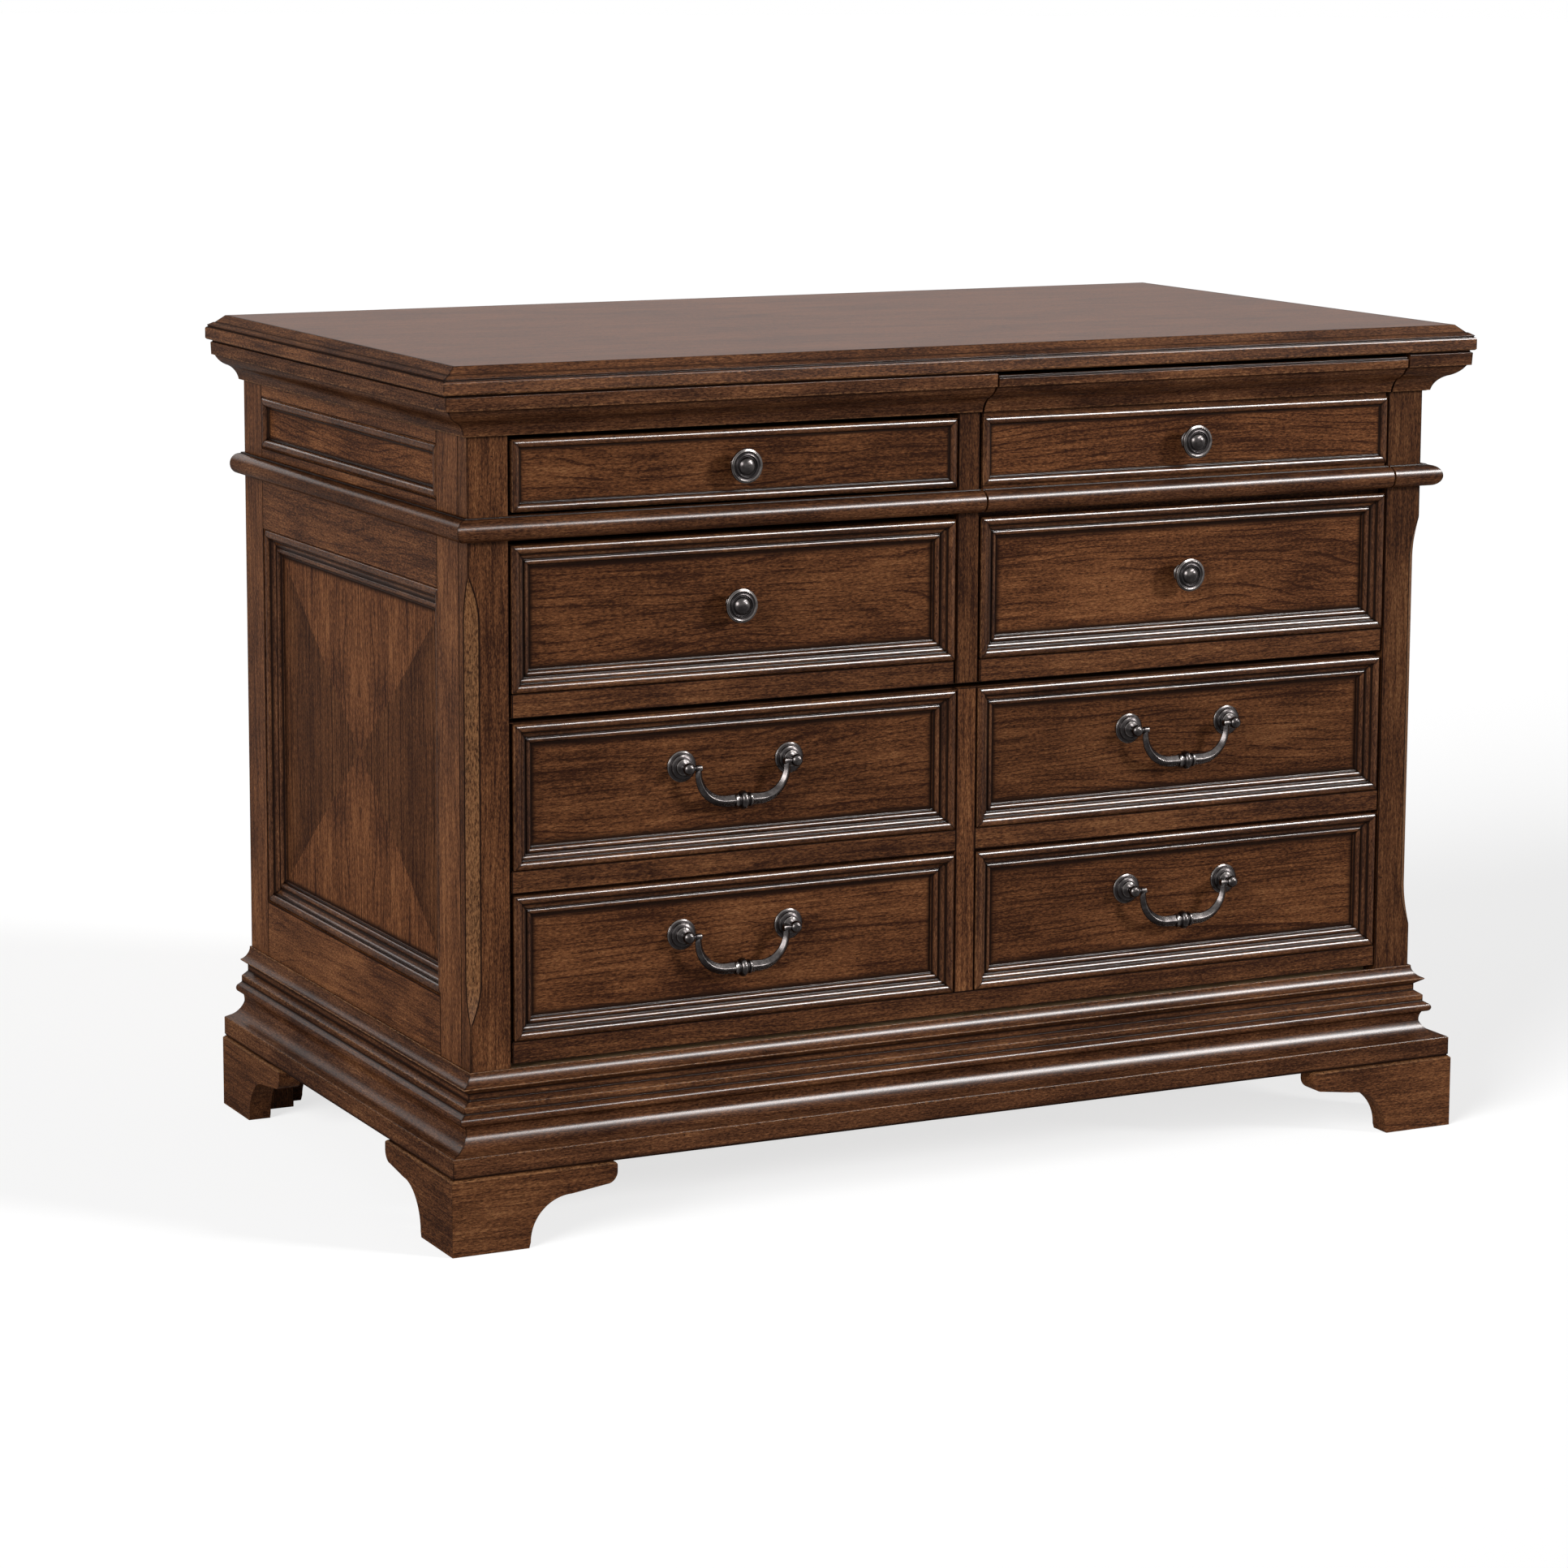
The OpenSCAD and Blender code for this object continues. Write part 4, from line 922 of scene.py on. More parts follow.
class CHEST_OT_base(Step, bpy.types.Operator):
    """Base moulding, bracket feet and their glue blocks"""

    bl_idname = "chest.base"
    bl_label = "Base and feet"

    def execute(self, context):
        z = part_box("base_front")[0].z
        front_band("base_front", "base_front", base_outline(), z, -CASE_X, CASE_X, (1, 1))
        side_bands("base_sides", "base_sides", base_outline(), z)
        for place in ("front_left", "front_right", "back_left", "back_right"):
            foot = Piece(f"foot_{place}_wood")
            foot.shape(self.foot(f"foot_{place}", chest_sizes().foot_round), arris=0)
            foot.build("case", "framing", f"foot_{place}")
        plain_copies("case", "framing", "glue_blocks")
        return {"FINISHED"}

    def foot(self, node, r):
        """A foot with its outer corner and its upper edge rounded."""
        low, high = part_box(node)
        corner = Vector((low.x if low.x < 0 else high.x, low.y if low.y < 0 else high.y))
        shape = merged(node)
        glaze = shape.faces.layers.float.new("glaze")
        at_corner = 3e-4  # Takes in both boards of the mitred corner
        upright = [e for e in shape.edges
                   if all((v.co.xy - corner).length < at_corner for v in e.verts)]
        for face in rounded_off(shape, upright, r / 4):
            face[glaze] = MITRE_GLAZE
        for depth in (r, r / 2):
            bmesh.ops.bisect_plane(
                shape, geom=[*shape.verts, *shape.edges, *shape.faces],
                plane_co=(0, 0, high.z - depth), plane_no=(0, 0, 1))
        near, most = r * 0.51, r * 0.75  # How near to the outside, and the most drawn in
        for v in shape.verts:
            rise = max(0, 1 - (high.z - v.co.z) / r)
            for axis in (0, 1):
                if abs(v.co[axis] - corner[axis]) < near:
                    v.co[axis] -= math.copysign(most * rise * rise, corner[axis])
        shape.normal_update()
        # The rounded top edge of a foot is painted light as rubbed wood: wear, and a painted
        # highlight
        for face in shape.faces:
            if face.calc_center_median().z > high.z - r and 0.1 < face.normal.z < 0.95:
                face[glaze] = CHAMFER_GLAZE
        shape.faces.sort(key=lambda f: f.calc_center_median().dot(FACE_ORDER))
        shape.verts.index_update()
        shape.faces.index_update()
        return shape


def plain_copies(body, finish, *nodes, tint=0.0, **how):
    """Copies of CAD nodes with rounded arrises, each in place of its node."""
    for node in nodes:
        piece = Piece(f"{node}_steel" if finish == "steel" else f"{node}_wood", tint)
        piece.cad(node, **how)
        piece.build(body, finish, node)


class CHEST_OT_case(Step, bpy.types.Operator):
    """Posts, side frames, stile and rails of the case"""

    bl_idname = "chest.case"
    bl_label = "Case framing"

    def execute(self, context):
        for node, side, tint in (("post_left", -1, 0.0), ("post_right", 1, -2.4)):
            post = Piece(f"{node}_wood", tint)
            self.post(post, side, chest_sizes().chamfer)
            post.build("case", "framing", node)
        plain_copies("case", "framing", "side_frame_left", "side_frame_right", tint=2.6)
        plain_copies("case", "framing", "centre_stile", tint=-3.0)
        plain_copies("case", "moulded", "cross_rails", along=X, across=Z)
        return {"FINISHED"}

    def post(self, piece, side, chamfer):
        """A front post whose stopped chamfer runs out in a tongue at both ends."""
        low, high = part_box("post_left")
        w, t = high.x - low.x, high.y - low.y
        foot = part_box("base_front")[1].z + 0.036  # Where the chamfer starts
        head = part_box("bead_front")[0].z - 0.026
        run_out, steps, fullness = 0.046, 25, 0.65
        skip, least, full_cut, r = 0.0004, 0.0010, 0.003, 0.0008
        deep = chamfer / math.sqrt(2)
        heights = [(low.z, 0.0)]
        for stop, sign in ((foot, 1), (head, -1)):
            part = []
            for k in np.linspace(0, 1, steps):
                u = k ** fullness
                part.append((stop + sign * run_out * k,
                             math.sqrt(2) * ((deep + skip) * u * u * (3 - 2 * u) - skip)))
            heights += part[::sign]
        heights.append((high.z, 0.0))
        rows, dark = [], []
        for z, cut in heights:
            c = max(cut, least)
            e = min(r, c * 0.45)
            d = e / math.sqrt(2)
            plan = [(0, c + e), (d, c - d), (c - d, d), (c + e, 0), (w - r, 0),
                    (w - r * .3, r * .3), (w, r), (w, t - r), (w - r * .3, t - r * .3),
                    (w - r, t), (r, t), (r * .3, t - r * .3), (0, t - r)]
            rows.append([np.array([side * (CASE_X - px), FRONT_Y + py, z]) for px, py in plan])
            rub = CHAMFER_GLAZE * min(1, max(0, cut) / full_cut)
            dark.append([.9, rub, .9, 0, .8, .8, 0, .8, .8, 0, .9, .9, 0])
        n = len(rows[0])
        last = (len(rows) - 1) * n
        faces, glaze = [], []
        for i, (under, over) in enumerate(zip(dark, dark[1:])):
            for j in range(n):
                m = (j + 1) % n
                faces.append([i * n + j, i * n + m, (i + 1) * n + m, (i + 1) * n + j])
                glaze.append(min(under[j], over[j], key=abs))
        faces += [list(range(n))[::-1], [last + j for j in range(n)]]
        piece.add(np.vstack(rows), faces, Z, X, face_glaze=glaze + [0, 0])


class CHEST_OT_side_panels(Step, bpy.types.Operator):
    """Side panels in four matched leaves, with their mouldings"""

    bl_idname = "chest.side_panels"
    bl_label = "Side panels"

    def execute(self, context):
        sizes = chest_sizes()
        boards, low_field = Piece("side_panel_boards"), Piece("side_panel_veneer")
        high_field, rings = Piece("side_frieze_veneer", 2.0), Piece("side_mouldings_wood")
        low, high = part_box("side_panels")
        thick, low_h, high_h, overlap = 0.008, 0.3698, 0.0493, 0.001
        width, middle = high.y - low.y, (low.y + high.y) / 2
        kinds = ((low.z, low.z + low_h, sizes.low_recess, sizes.side_mould, low_field,
                  stepped_outline(sizes.side_mould / MM, 8.5)),
                 (high.z - high_h, high.z, sizes.high_recess, sizes.high_mould, high_field,
                  small_outline(sizes.high_mould / MM, sizes.high_recess / MM - 2.8)))
        for side in (-1, 1):
            out, across = side * X, side * Y
            for z0, z1, recess, mould, field, outline in kinds:
                matched = field is low_field
                face = CASE_X - recess
                xs = sorted((side * face, side * (face - thick)))
                boards.board((xs[0], low.y, z0), (xs[1], high.y, z1), Y)
                centre = np.array([side * face, middle, (z0 + z1) / 2])
                inset = 2 * (mould - overlap)
                field.field(centre, across, Z, out, width - inset, z1 - z0 - inset,
                            sizes.veneer, sizes.rim * (1.0 if matched else 0.5), matched)
                rings.ring(outline, centre + out * GAP, across, Z, out, width, z1 - z0)
        boards.build("case", "framing", "side_panels")
        low_field.build("case", "matched")
        high_field.build("case", "field")
        rings.build("case", "moulded", "side_mouldings")
        return {"FINISHED"}


def ring_place(node, y):
    """Centre and size of the ring that fills a node's box."""
    low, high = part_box(node)
    return ((low.x + high.x) / 2, y, (low.z + high.z) / 2, high.x - low.x, high.z - low.z)


def framed_field(field, ring, x, y, z, w, h, small=False):
    """A veneered field on a front, and the moulding around it."""
    sizes = chest_sizes()
    mould = sizes.small_mould if small else sizes.front_mould
    outline = small_outline(mould / MM, 0.6) if small else stepped_outline(mould / MM, 9.0)
    inset = 2 * (mould - 0.001)
    field.field(np.array([x, y, z]), X, Z, -Y, w - inset, h - inset, sizes.veneer,
                sizes.rim * (0.5 if small else 1.0))
    ring.ring(outline, np.array([x, y - GAP, z]), X, Z, -Y, w, h)


class CHEST_OT_fronts(Step, bpy.types.Operator):
    """Drawer fronts with their strips, veneered fields and mouldings"""

    bl_idname = "chest.fronts"
    bl_label = "Fronts"

    def execute(self, context):
        top = ring_place("top_drawer_moulding", FRONT_Y)
        second = ring_place("second_drawer_moulding", FIELD_Y)
        x, _, z, _, frame_h = second
        strip = z - frame_h / 2 - 0.001
        for body, node, tint, side, places in (
                ("upper_drawer", "top_drawer", 0.0, 1, [top]),
                ("second_drawer", "second_drawer", 0.0, 1, [second]),
                # The tall pull-out's veneer gets a lighter tint: painted light, as the right bank
                # is lit more from the right
                ("printer_pullout", "printer", 1.0, -1, [top, second])):
            low, high = (np.array(p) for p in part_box(f"{node}_front"))
            board = Piece(f"{node}_front_board")
            field = Piece(f"{node}_front_veneer", tint)
            rings = Piece(f"{node}_mouldings_wood")
            if second in places:
                board.board((low[0], FIELD_Y, low[2]), high, X, Z)
                board.board(low, (high[0], FIELD_Y - GAP, strip), X, Z)
            else:
                board.board(low, high, X, Z)
            if node == "printer":
                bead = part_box("printer_bead")[0].z
                board.board((low[0], FRONT_Y, bead), (high[0], FIELD_Y - GAP, high[2]), X, Z)
            for x, *place in places:
                framed_field(field, rings, side * x, *place, small=place[0] == FRONT_Y)
            board.build(body, "framing", f"{node}_front")
            field.build(body, "field")
            rings.build(body, "moulded",
                        f"{node}_moulding" if len(places) == 1 else f"{node}_mouldings")
        self.file_front(frame_h)
        return {"FINISHED"}

    def file_front(self, frame_h):
        """The wide front below, which looks like four drawers."""
        low, high = (np.array(p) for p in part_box("file_front"))
        ring_low, ring_high = (np.array(p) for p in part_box("file_mouldings"))
        stile, side_line, low_line = 0.010, 0.002, 0.001
        skin = FIELD_Y - GAP
        frame_w = (ring_high[0] - ring_low[0]) / 2 - stile - side_line
        middle = ring_high[0] - frame_w / 2
        rows = (ring_low[2] + frame_h / 2, ring_high[2] - frame_h / 2)
        strip = ring_low[2] - low_line - low[2]
        board = Piece("file_front_board")
        board.board((low[0], FIELD_Y, low[2]), high, X, Z)
        board.board(low, (high[0], skin, low[2] + strip), X, Z)
        board.board((-stile, low[1], low[2] + strip + GAP), (stile, skin, high[2]), Z, X)
        mid = rows[1] - frame_h / 2 - low_line
        for a, b in ((low[0], -stile - GAP), (stile + GAP, high[0])):
            board.board((a, low[1], mid - strip), (b, skin, mid), X, Z)
        board.build("file_drawer", "framing", "file_front")
        field, rings = Piece("file_front_veneer", -0.8), Piece("file_mouldings_wood")
        for x in (-middle, middle):
            for z in rows:
                framed_field(field, rings, x, FIELD_Y, z, frame_w, frame_h)
        field.build("file_drawer", "field")
        rings.build("file_drawer", "moulded", "file_mouldings")


class CHEST_OT_carcase(Step, bpy.types.Operator):
    """Inner boards, drawer boxes, printer tray, slides and other steel"""

    bl_idname = "chest.carcase"
    bl_label = "Inside"

    def execute(self, context):
        plain_copies("case", "carcase", "back_panel", "dust_shelf", "bottom_panel",
                     "centre_divider", "slide_packers")
        for body, *nodes in (("case", "case_slides"), ("upper_drawer", "top_drawer_slides"),
                             ("second_drawer", "second_drawer_slides"),
                             ("printer_pullout", "printer_slides", "printer_brackets"),
                             ("file_drawer", "file_slides", "hanging_rails")):
            plain_copies(body, "steel", *nodes, arris=chest_sizes().steel_arris)
        for node, body in (("top_drawer_box", "upper_drawer"),
                           ("second_drawer_box", "second_drawer"),
                           ("file_box", "file_drawer")):
            piece = Piece(f"{node}_wood")
            self.box(piece, *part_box(node))
            piece.build(body, "carcase", node)
        plain_copies("printer_pullout", "carcase", "printer_tray")
        return {"FINISHED"}

    def box(self, piece, low, high):
        """Sides, ends and bottom of a drawer box."""
        thick, bottom_up, bottom_thick = 0.012, 0.008, 0.006
        (x0, y0, z0), (x1, y1, z1) = low, high
        left, right = x0 + thick + GAP, x1 - thick - GAP
        piece.board((x0, y0, z0), (x0 + thick, y1, z1), Y, Z)
        piece.board((x1 - thick, y0, z0), (x1, y1, z1), Y, Z)
        piece.board((left, y1 - thick, z0), (right, y1, z1), X, Z)
        piece.board((left, y0, z0), (right, y0 + thick, z1), X, Z)
        piece.board((left, y0 + thick + GAP, z0 + bottom_up),
                    (right, y1 - thick - GAP, z0 + bottom_up + bottom_thick), X, Y)


# Outlines of the turned metal in millimetres: radius, then place along the axis

KNOB_RADIUS, KNOB_DEPTH = 0.0157, 0.0215
KNOB = [(0, 0), (9.0, 0), (9.0, 1.5), (6.5, 3.5), (6.0, 8.0),
        *arc((6.7, 9.5), (14.7, 13.5), 1.4), (15.7, 15.1), (15.4, 16.6), (13.4, 17.6),
        (12.2, 16.7), (11.5, 16.5), (11.0, 17.6), (9.9, 18.1), (9.1, 16.9),
        *arc((8.5, 16.9), (0, 21.5), -1.6)]
KNOB_STEPS, BAIL_STEPS, PIN_STEPS, STUD_STEPS, NUT_SIDES = 56, 40, 24, 20, 6


def rosette_outline(r):
    """A stepped disc with a domed middle, and the ball on its stem."""
    return [(0, 0), (r, 0), (r, 1.2), (r - 1.5, 2.3), (r - 2.7, 2.4), (r - 3.3, 3.8),
            (r - 5.3, 4.8), (r - 6.3, 4.9), (r - 6.9, 6.4), (r - 9.3, 7.5), (2.9, 8.8),
            (2.9, 12.2), *arc((3.1, 12.3), (0, 20.8), -4.05, 14)]


def knuckle_outline(k):
    """The turned middle of a bail."""
    half = [(k - 2.9, 3.6), (k - 3.3, 4.1), (k - 3.3, 4.9), (k - 2.0, 5.7), (k - 2.0, 7.4),
            (k - 3.0, 8.6), (0, 8.6)]
    crown = arc((k - 2.9, -3.6), (k - 2.9, 3.6), -2.9, 14)
    return [*((r, -h) for r, h in half[::-1]), *crown[1:-1], *half]


def pin_outline(length):
    """The eye at the end of a bail's arm, and the pin through it."""
    return [(0, -2.9), (2.6, -2.9), (3.0, -2.4), (3.0, 2.6), (2.1, 3.2), (2.0, length - 0.6),
            (0, length - 0.6)]


def back_fixing(piece, place, wood_thick):
    """The stud that runs through the wood, with a hexagon nut behind it."""
    back = (wood_thick + GAP) / MM
    end = -back - 5.1
    piece.turned([(0, end), (2.0, end), (2.0, 1), (0, 1)], place, -Y, STUD_STEPS)
    piece.turned([(0, -back - 3.2), (4.6, -back - 3.2), (4.6, -back), (0, -back)],
                 place, -Y, NUT_SIDES)


def new_tree(name, **inputs):
    """A Geometry Nodes tree with named inputs. Returns it, its graph and its inputs."""
    tree = bpy.data.node_groups.new(name, "GeometryNodeTree")
    for key, kind in {"Geometry": "Geometry", **inputs, "Finish": "Material"}.items():
        tree.interface.new_socket(key.replace("_", " "), in_out="INPUT",
                                  socket_type=f"NodeSocket{kind}")
    tree.interface.new_socket("Geometry", in_out="OUTPUT", socket_type="NodeSocketGeometry")
    graph = Graph(tree)
    return tree, graph, [Socket(graph, out) for out in tree.nodes.new("NodeGroupInput").outputs]


def end_tree(g, shape, finish):
    """Makes the instances real, sets their finish and closes the tree."""
    real = g.node("GeometryNodeRealizeInstances", None, shape)
    done = g.node("GeometryNodeSetMaterial", None, real, Material=finish)
    g.node("NodeGroupOutput", None, done)


def set_out_tree():
    """A tree that stands a turned part on each point."""
    tree, g, (spots, part, scale, finish, _) = new_tree(
        "set_out_posts", Part="Object", Part_scale="Float")
    part = g.node("GeometryNodeObjectInfo", {"transform_space": "ORIGINAL"}, part,
                  output="Geometry")
    placed = g.node("GeometryNodeInstanceOnPoints", None, spots, Instance=part, Scale=scale)
    end_tree(g, placed, finish)
    return tree


def bail_tree():
    """A tree that sweeps a ridged section along the bail, thicker where the path says so."""
    tree, g, (path, radius, rounding, finish, _) = new_tree(
        "bail_sweep", Section="Float", Rounding="Float")
    path = g.node("GeometryNodeMeshToCurve", None, path)
    thick = g.node("GeometryNodeInputNamedAttribute", {"data_type": "FLOAT"}, "thick")
    diamond = g.node("GeometryNodeCurvePrimitiveCircle", {"mode": "RADIUS"}, Resolution=4,
                     Radius=radius)
    section = g.node("GeometryNodeFilletCurve", {"mode": "POLY"}, diamond, Count=3,
                     Radius=rounding)
    swept = g.node("GeometryNodeCurveToMesh", None, path, section, Scale=thick,
                   Fill_Caps=True)
    end_tree(g, swept, finish)
    return tree


def grown(name, points, edges, tree, values, floats=None):
    """The mesh that a tree grows on points, with the tree's inputs set by name."""
    mesh = bpy.data.meshes.new(name)
    mesh.from_pydata([tuple(p) for p in points], edges, [])
    for key, data in (floats or {}).items():
        mesh.attributes.new(key, "FLOAT", "POINT").data.foreach_set("value", data)
    seed = bpy.data.objects.new(f"{name}_seed", mesh)
    bpy.context.scene.collection.objects.link(seed)
    growth = seed.modifiers.new("Growth", "NODES")
    growth.node_group = tree
    for item in tree.interface.items_tree:
        if item.name in values:
            growth[item.identifier] = values[item.name]
    result = evaluated_copy(seed)
    seed.modifiers.remove(growth)
    bpy.data.objects.remove(seed)
    return result


class CHEST_OT_knobs(Step, bpy.types.Operator):
    """Round knobs with their studs and nuts"""

    bl_idname = "chest.knobs"
    bl_label = "Knobs"

    def execute(self, context):
        for node, body, wood_thicks in (("top_drawer_knob", "upper_drawer", (0.0321,)),
                                        ("second_drawer_knob", "second_drawer", (0.0281,)),
                                        ("printer_knobs", "printer_pullout", (0.016, 0.025))):
            low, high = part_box(node)
            zs = (low.z + KNOB_RADIUS, high.z - KNOB_RADIUS)
            ys = (low.y + KNOB_DEPTH,) if len(wood_thicks) == 1 else (FIELD_Y, FRONT_Y)
            piece = Piece(f"{node}_metal")
            for y, z, wood_thick in zip(ys, zs, wood_thicks):
                place = np.array([(low.x + high.x) / 2, y, z])
                piece.turned(KNOB, place, -Y, KNOB_STEPS)
                back_fixing(piece, place, wood_thick)
            piece.build(body, "bronze", node)
        return {"FINISHED"}


class CHEST_OT_bails(Step, bpy.types.Operator):
    """Bail pulls: stepped rosettes with their ball posts, and the swinging bails"""

    bl_idname = "chest.bails"
    bl_label = "Bail pulls"

    def execute(self, context):
        sizes = chest_sizes()
        half, r = sizes.bail_span / 2, sizes.rosette
        low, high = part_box("bail_posts")
        x = high.x - r - half
        part = Piece("bail_post")
        part.turned(rosette_outline(r / MM), np.zeros(3), -Y, KNOB_STEPS)
        back_fixing(part, np.zeros(3), 0.0281)
        template = part.template("bronze")
        spots = [(s * x + t * half, FIELD_Y, z) for s in (-1, 1) for t in (-1, 1)
                 for z in (low.z + r, high.z - r)]
        mesh = grown("bail_posts_metal", spots, [], set_out_tree(),
                     {"Part": template, "Part scale": 1.0, "Finish": material_named("bronze")})
        bpy.data.objects.remove(template)
        set_in_place(mesh, "bail_posts_metal", "file_drawer", "bronze", ["bail_posts"])
        sweep = bail_tree()
        for place in ("low_left", "low_right", "high_left", "high_right"):
            self.bail(f"bail_{place}", f"pull_{place}", sweep, sizes, half)
        return {"FINISHED"}

    def bail(self, node, body, sweep, sizes, half):
        """One bail: two swelling arms, their pins and a turned knuckle."""
        low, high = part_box(node)
        drop, bend, pin, middle = sizes.bail_drop, 0.027, 0.0097, 0.0075
        centre = np.array([(low.x + high.x) / 2, (low.y + high.y) / 2,
                           low.z + sizes.knuckle + drop])
        arm = half - pin
        path = [(arm, 0.0), (arm, (bend - drop) * 0.6)]
        path += [(arm - bend + bend * math.cos(t), bend - drop - bend * math.sin(t))
                 for t in np.linspace(0, math.pi / 2, 18)]
        path += [(middle, -drop)]
        lengths = np.cumsum([0, *np.linalg.norm(np.diff(path, axis=0), axis=1)])
        swelling = (lengths / lengths[-1]) ** 0.7
        thick = sizes.bail_rod + (sizes.bail_swell - sizes.bail_rod) * swelling
        arms = bmesh.new()
        for side in (-1, 1):
            points = [centre + X * side * a + Z * b for a, b in path]
            mesh = grown(node, points, [(i, i + 1) for i in range(len(points) - 1)], sweep,
                         {"Section": 1.08, "Rounding": 0.3, "Finish": material_named("bronze")},
                         {"thick": thick})
            arms.from_mesh(mesh)
        bmesh.ops.remove_doubles(arms, verts=arms.verts, dist=1e-6)
        arms.verts.index_update()
        arms.faces.index_update()
        piece = Piece(f"{node}_metal")
        piece.shape(arms, X, Z, arris=0)
        for side in (-1, 1):
            piece.turned(pin_outline(pin / MM), centre + X * side * arm, side * X, PIN_STEPS)
        piece.turned(knuckle_outline(sizes.knuckle / MM), centre - Z * drop, X, BAIL_STEPS)
        piece.build(body, "bronze", node)


class CHEST_OT_stage(Step, bpy.types.Operator):
    """Floor, backdrop, light and camera"""

    bl_idname = "chest.stage"
    bl_label = "Studio"

    def execute(self, context):
        scene = context.scene
        scene.view_settings.view_transform = "Standard"
        studio = scene.chest_studio
        self.floor(scene)
        self.world(scene, studio)
        self.sun("key", (1.1, -1.0, 0.5), studio.key, 10)
        self.sun("side", (-1.0, -0.5, 0.45), studio.side, 30)
        self.strip("gleam", (1.3, -1.65, 1.8), 1.9, 0.4, studio.gleam, GLEAMING)
        self.strip("sheen", (-0.3, 3.2, 2.1), 2.6, 1.3, studio.sheen, PROFILED)
        self.strip("glint", (1.1, -1.5, 2.0), 1.4, 0.5, studio.glint, METALS)
        self.camera(scene, studio)
        return {"FINISHED"}

    def floor(self, scene):
        """A wide round floor, whose rings grow outwards."""
        reach, rings, spokes = 60.0, 6, 48
        points, faces = [(0, 0, 0)], []
        for r in range(1, rings + 1):
            for k in range(spokes):
                t = 2 * math.pi * k / spokes
                far = reach * (r / rings) ** 2
                points.append((far * math.cos(t), far * math.sin(t), 0))
        for k in range(spokes):
            m = (k + 1) % spokes
            faces.append((0, 1 + k, 1 + m))
            for r in range(rings - 1):
                a, b = 1 + r * spokes, 1 + (r + 1) * spokes
                faces.append((a + k, b + k, b + m, a + m))
        mesh = bpy.data.meshes.new("floor")
        mesh.from_pydata(points, [], faces)
        mesh.materials.append(material_named("floor"))
        floor = bpy.data.objects.new("floor", mesh)
        scene.collection.objects.link(floor)

    def world(self, scene, studio):
        """White where the camera, the metal and glass see it, and a soft fill elsewhere."""
        world = bpy.data.worlds.new("studio")
        world.use_nodes = True
        world.node_tree.nodes.clear()
        g = Graph(world.node_tree)
        camera, glossy, glass = (
            g.node("ShaderNodeLightPath", None, output=f"Is {ray} Ray")
            for ray in ("Camera", "Glossy", "Transmission"))
        seen = camera.math("MAXIMUM", glossy).math("MAXIMUM", glass)
        strength = seen * (1.0 - studio.fill) + studio.fill
        back = g.node("ShaderNodeBackground", None, WHITE, strength)
        g.node("ShaderNodeOutputWorld", None, back)
        scene.world = world

    def sun(self, name, toward, strength, spread):
        """A distant lamp in the direction given, as wide as its spread in degrees."""
        light = bpy.data.lights.new(name, "SUN")
        light.energy = strength
        light.angle = math.radians(spread)
        lamp = bpy.data.objects.new(name, light)
        lamp.rotation_euler = Vector(toward).to_track_quat("Z", "Y").to_euler()
        bpy.context.scene.collection.objects.link(lamp)

    def strip(self, name, place, long, wide, radiance, finishes):
        """A long lamp that draws only the highlights on some finishes."""
        light = bpy.data.lights.new(name, "AREA")
        light.shape = "RECTANGLE"
        light.size, light.size_y = long, wide
        light.energy = radiance * math.pi * long * wide
        lamp = bpy.data.objects.new(name, light)
        lamp.location = place
        aim = Vector(place) - Vector((0, -0.25, 0.5))
        lamp.rotation_euler = aim.to_track_quat("Z", "Y").to_euler()
        lamp.visible_diffuse = False
        lit = bpy.data.collections.new(f"{name}_pieces")
        for piece in bpy.context.scene.objects:
            if piece.type == "MESH" and piece.active_material:
                if piece.active_material.name in finishes:
                    lit.objects.link(piece)
        lamp.light_linking.receiver_collection = lit
        bpy.context.scene.collection.objects.link(lamp)

    def camera(self, scene, studio):
        """The camera at the place that the photo was taken from."""
        place = (-2.00398144, -3.89438116, 1.15682899)
        turn, tilt, roll = (math.radians(v) for v in (-26.33323, 8.89128, 0.202))
        back = Vector((math.sin(turn) * math.cos(tilt), -math.cos(turn) * math.cos(tilt),
                       math.sin(tilt)))
        right = Vector((math.cos(turn), math.sin(turn), 0))
        up = back.cross(right)
        axes = (math.cos(roll) * right + math.sin(roll) * up,
                math.cos(roll) * up - math.sin(roll) * right, back)
        data = bpy.data.cameras.new("camera")
        data.sensor_width = 36.0
        data.lens = studio.lens
        data.shift_x, data.shift_y = 0.0129475, -0.09
        data.clip_end = 300
        camera = bpy.data.objects.new("camera", data)
        camera.matrix_world = Matrix.Translation(place) @ Matrix(axes).transposed().to_4x4()
        scene.collection.objects.link(camera)
        scene.camera = camera


class CHEST_PT_sidebar(bpy.types.Panel):
    """The chest's pieces, sizes and finishes"""

    bl_idname = "CHEST_PT_sidebar"
    bl_label = "File Chest"
    bl_space_type = "VIEW_3D"
    bl_region_type = "UI"
    bl_category = "Chest"

    def draw(self, context):
        layout = self.layout
        for operator in OPERATORS:
            layout.operator(operator.bl_idname)
        for name in GROUPS:
            group = getattr(context.scene, name)
            box = layout.box()
            for key in group.bl_rna.properties.keys():
                if key not in ("name", "rna_type"):
                    box.prop(group, key)


GROUPS = {"chest_sizes": ChestSizes, "chest_colours": ChestColours,
          "chest_studio": ChestStudio}
OPERATORS = (CHEST_OT_top, CHEST_OT_cornice, CHEST_OT_bead, CHEST_OT_base, CHEST_OT_case,
             CHEST_OT_side_panels, CHEST_OT_fronts, CHEST_OT_carcase, CHEST_OT_knobs,
             CHEST_OT_bails, CHEST_OT_stage)


def register():
    """Makes the classes and the scene's properties known."""
    for kind in (*GROUPS.values(), *OPERATORS, CHEST_PT_sidebar):
        bpy.utils.register_class(kind)
    for name, kind in GROUPS.items():
        setattr(bpy.types.Scene, name, bpy.props.PointerProperty(type=kind))


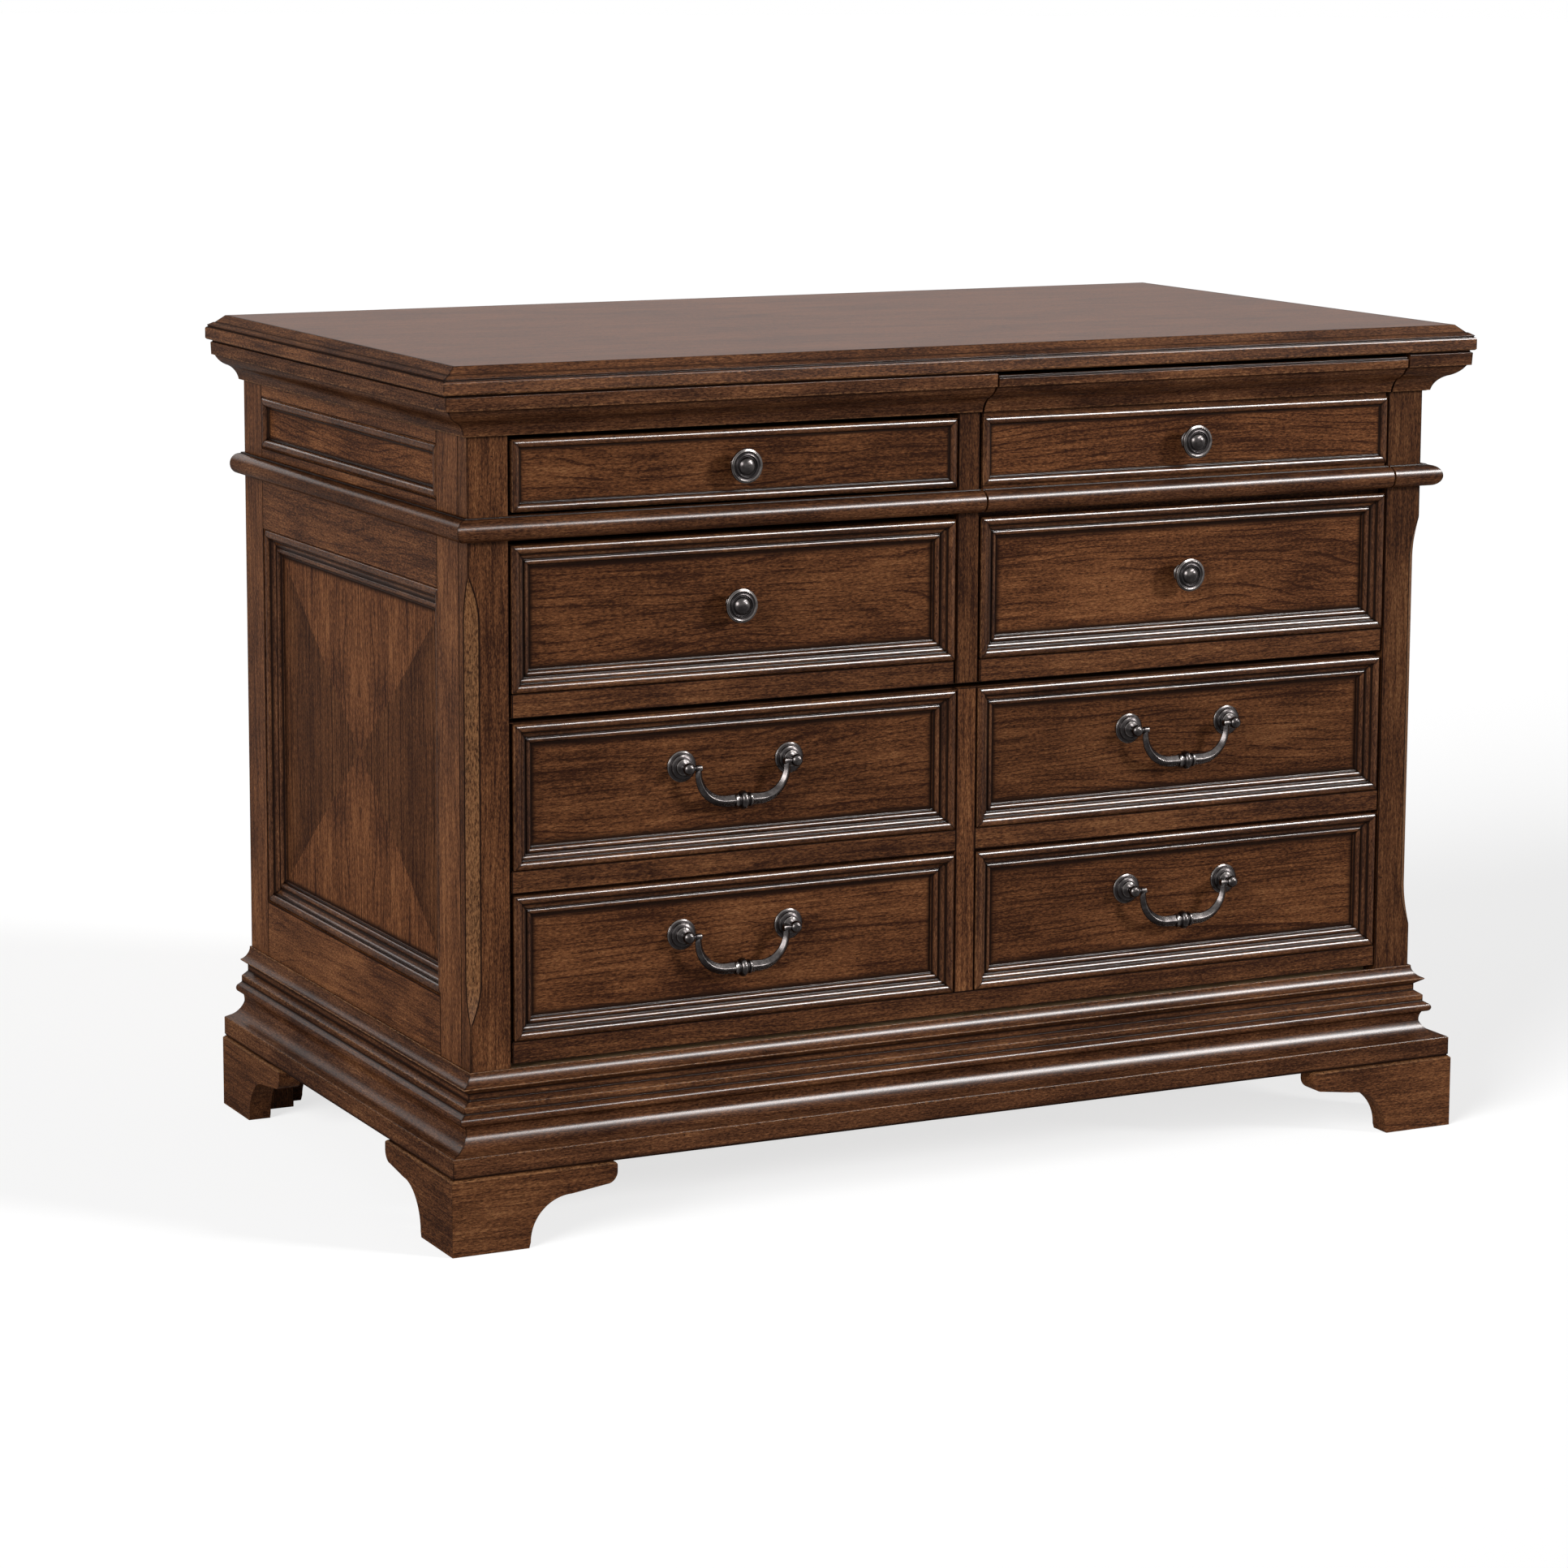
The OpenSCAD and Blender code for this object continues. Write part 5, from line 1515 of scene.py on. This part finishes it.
def unregister():
    """Takes the properties and the classes back."""
    for name in GROUPS:
        delattr(bpy.types.Scene, name)
    for kind in (CHEST_PT_sidebar, *OPERATORS, *GROUPS.values()):
        bpy.utils.unregister_class(kind)


def main():
    """Makes every piece and the studio."""
    register()
    for operator in OPERATORS:
        group, name = operator.bl_idname.split(".")
        if getattr(getattr(bpy.ops, group), name)() != {"FINISHED"}:
            raise RuntimeError(f"{operator.bl_label} wasn't made")
    bpy.context.view_layer.update()


if __name__ == "__main__":
    main()
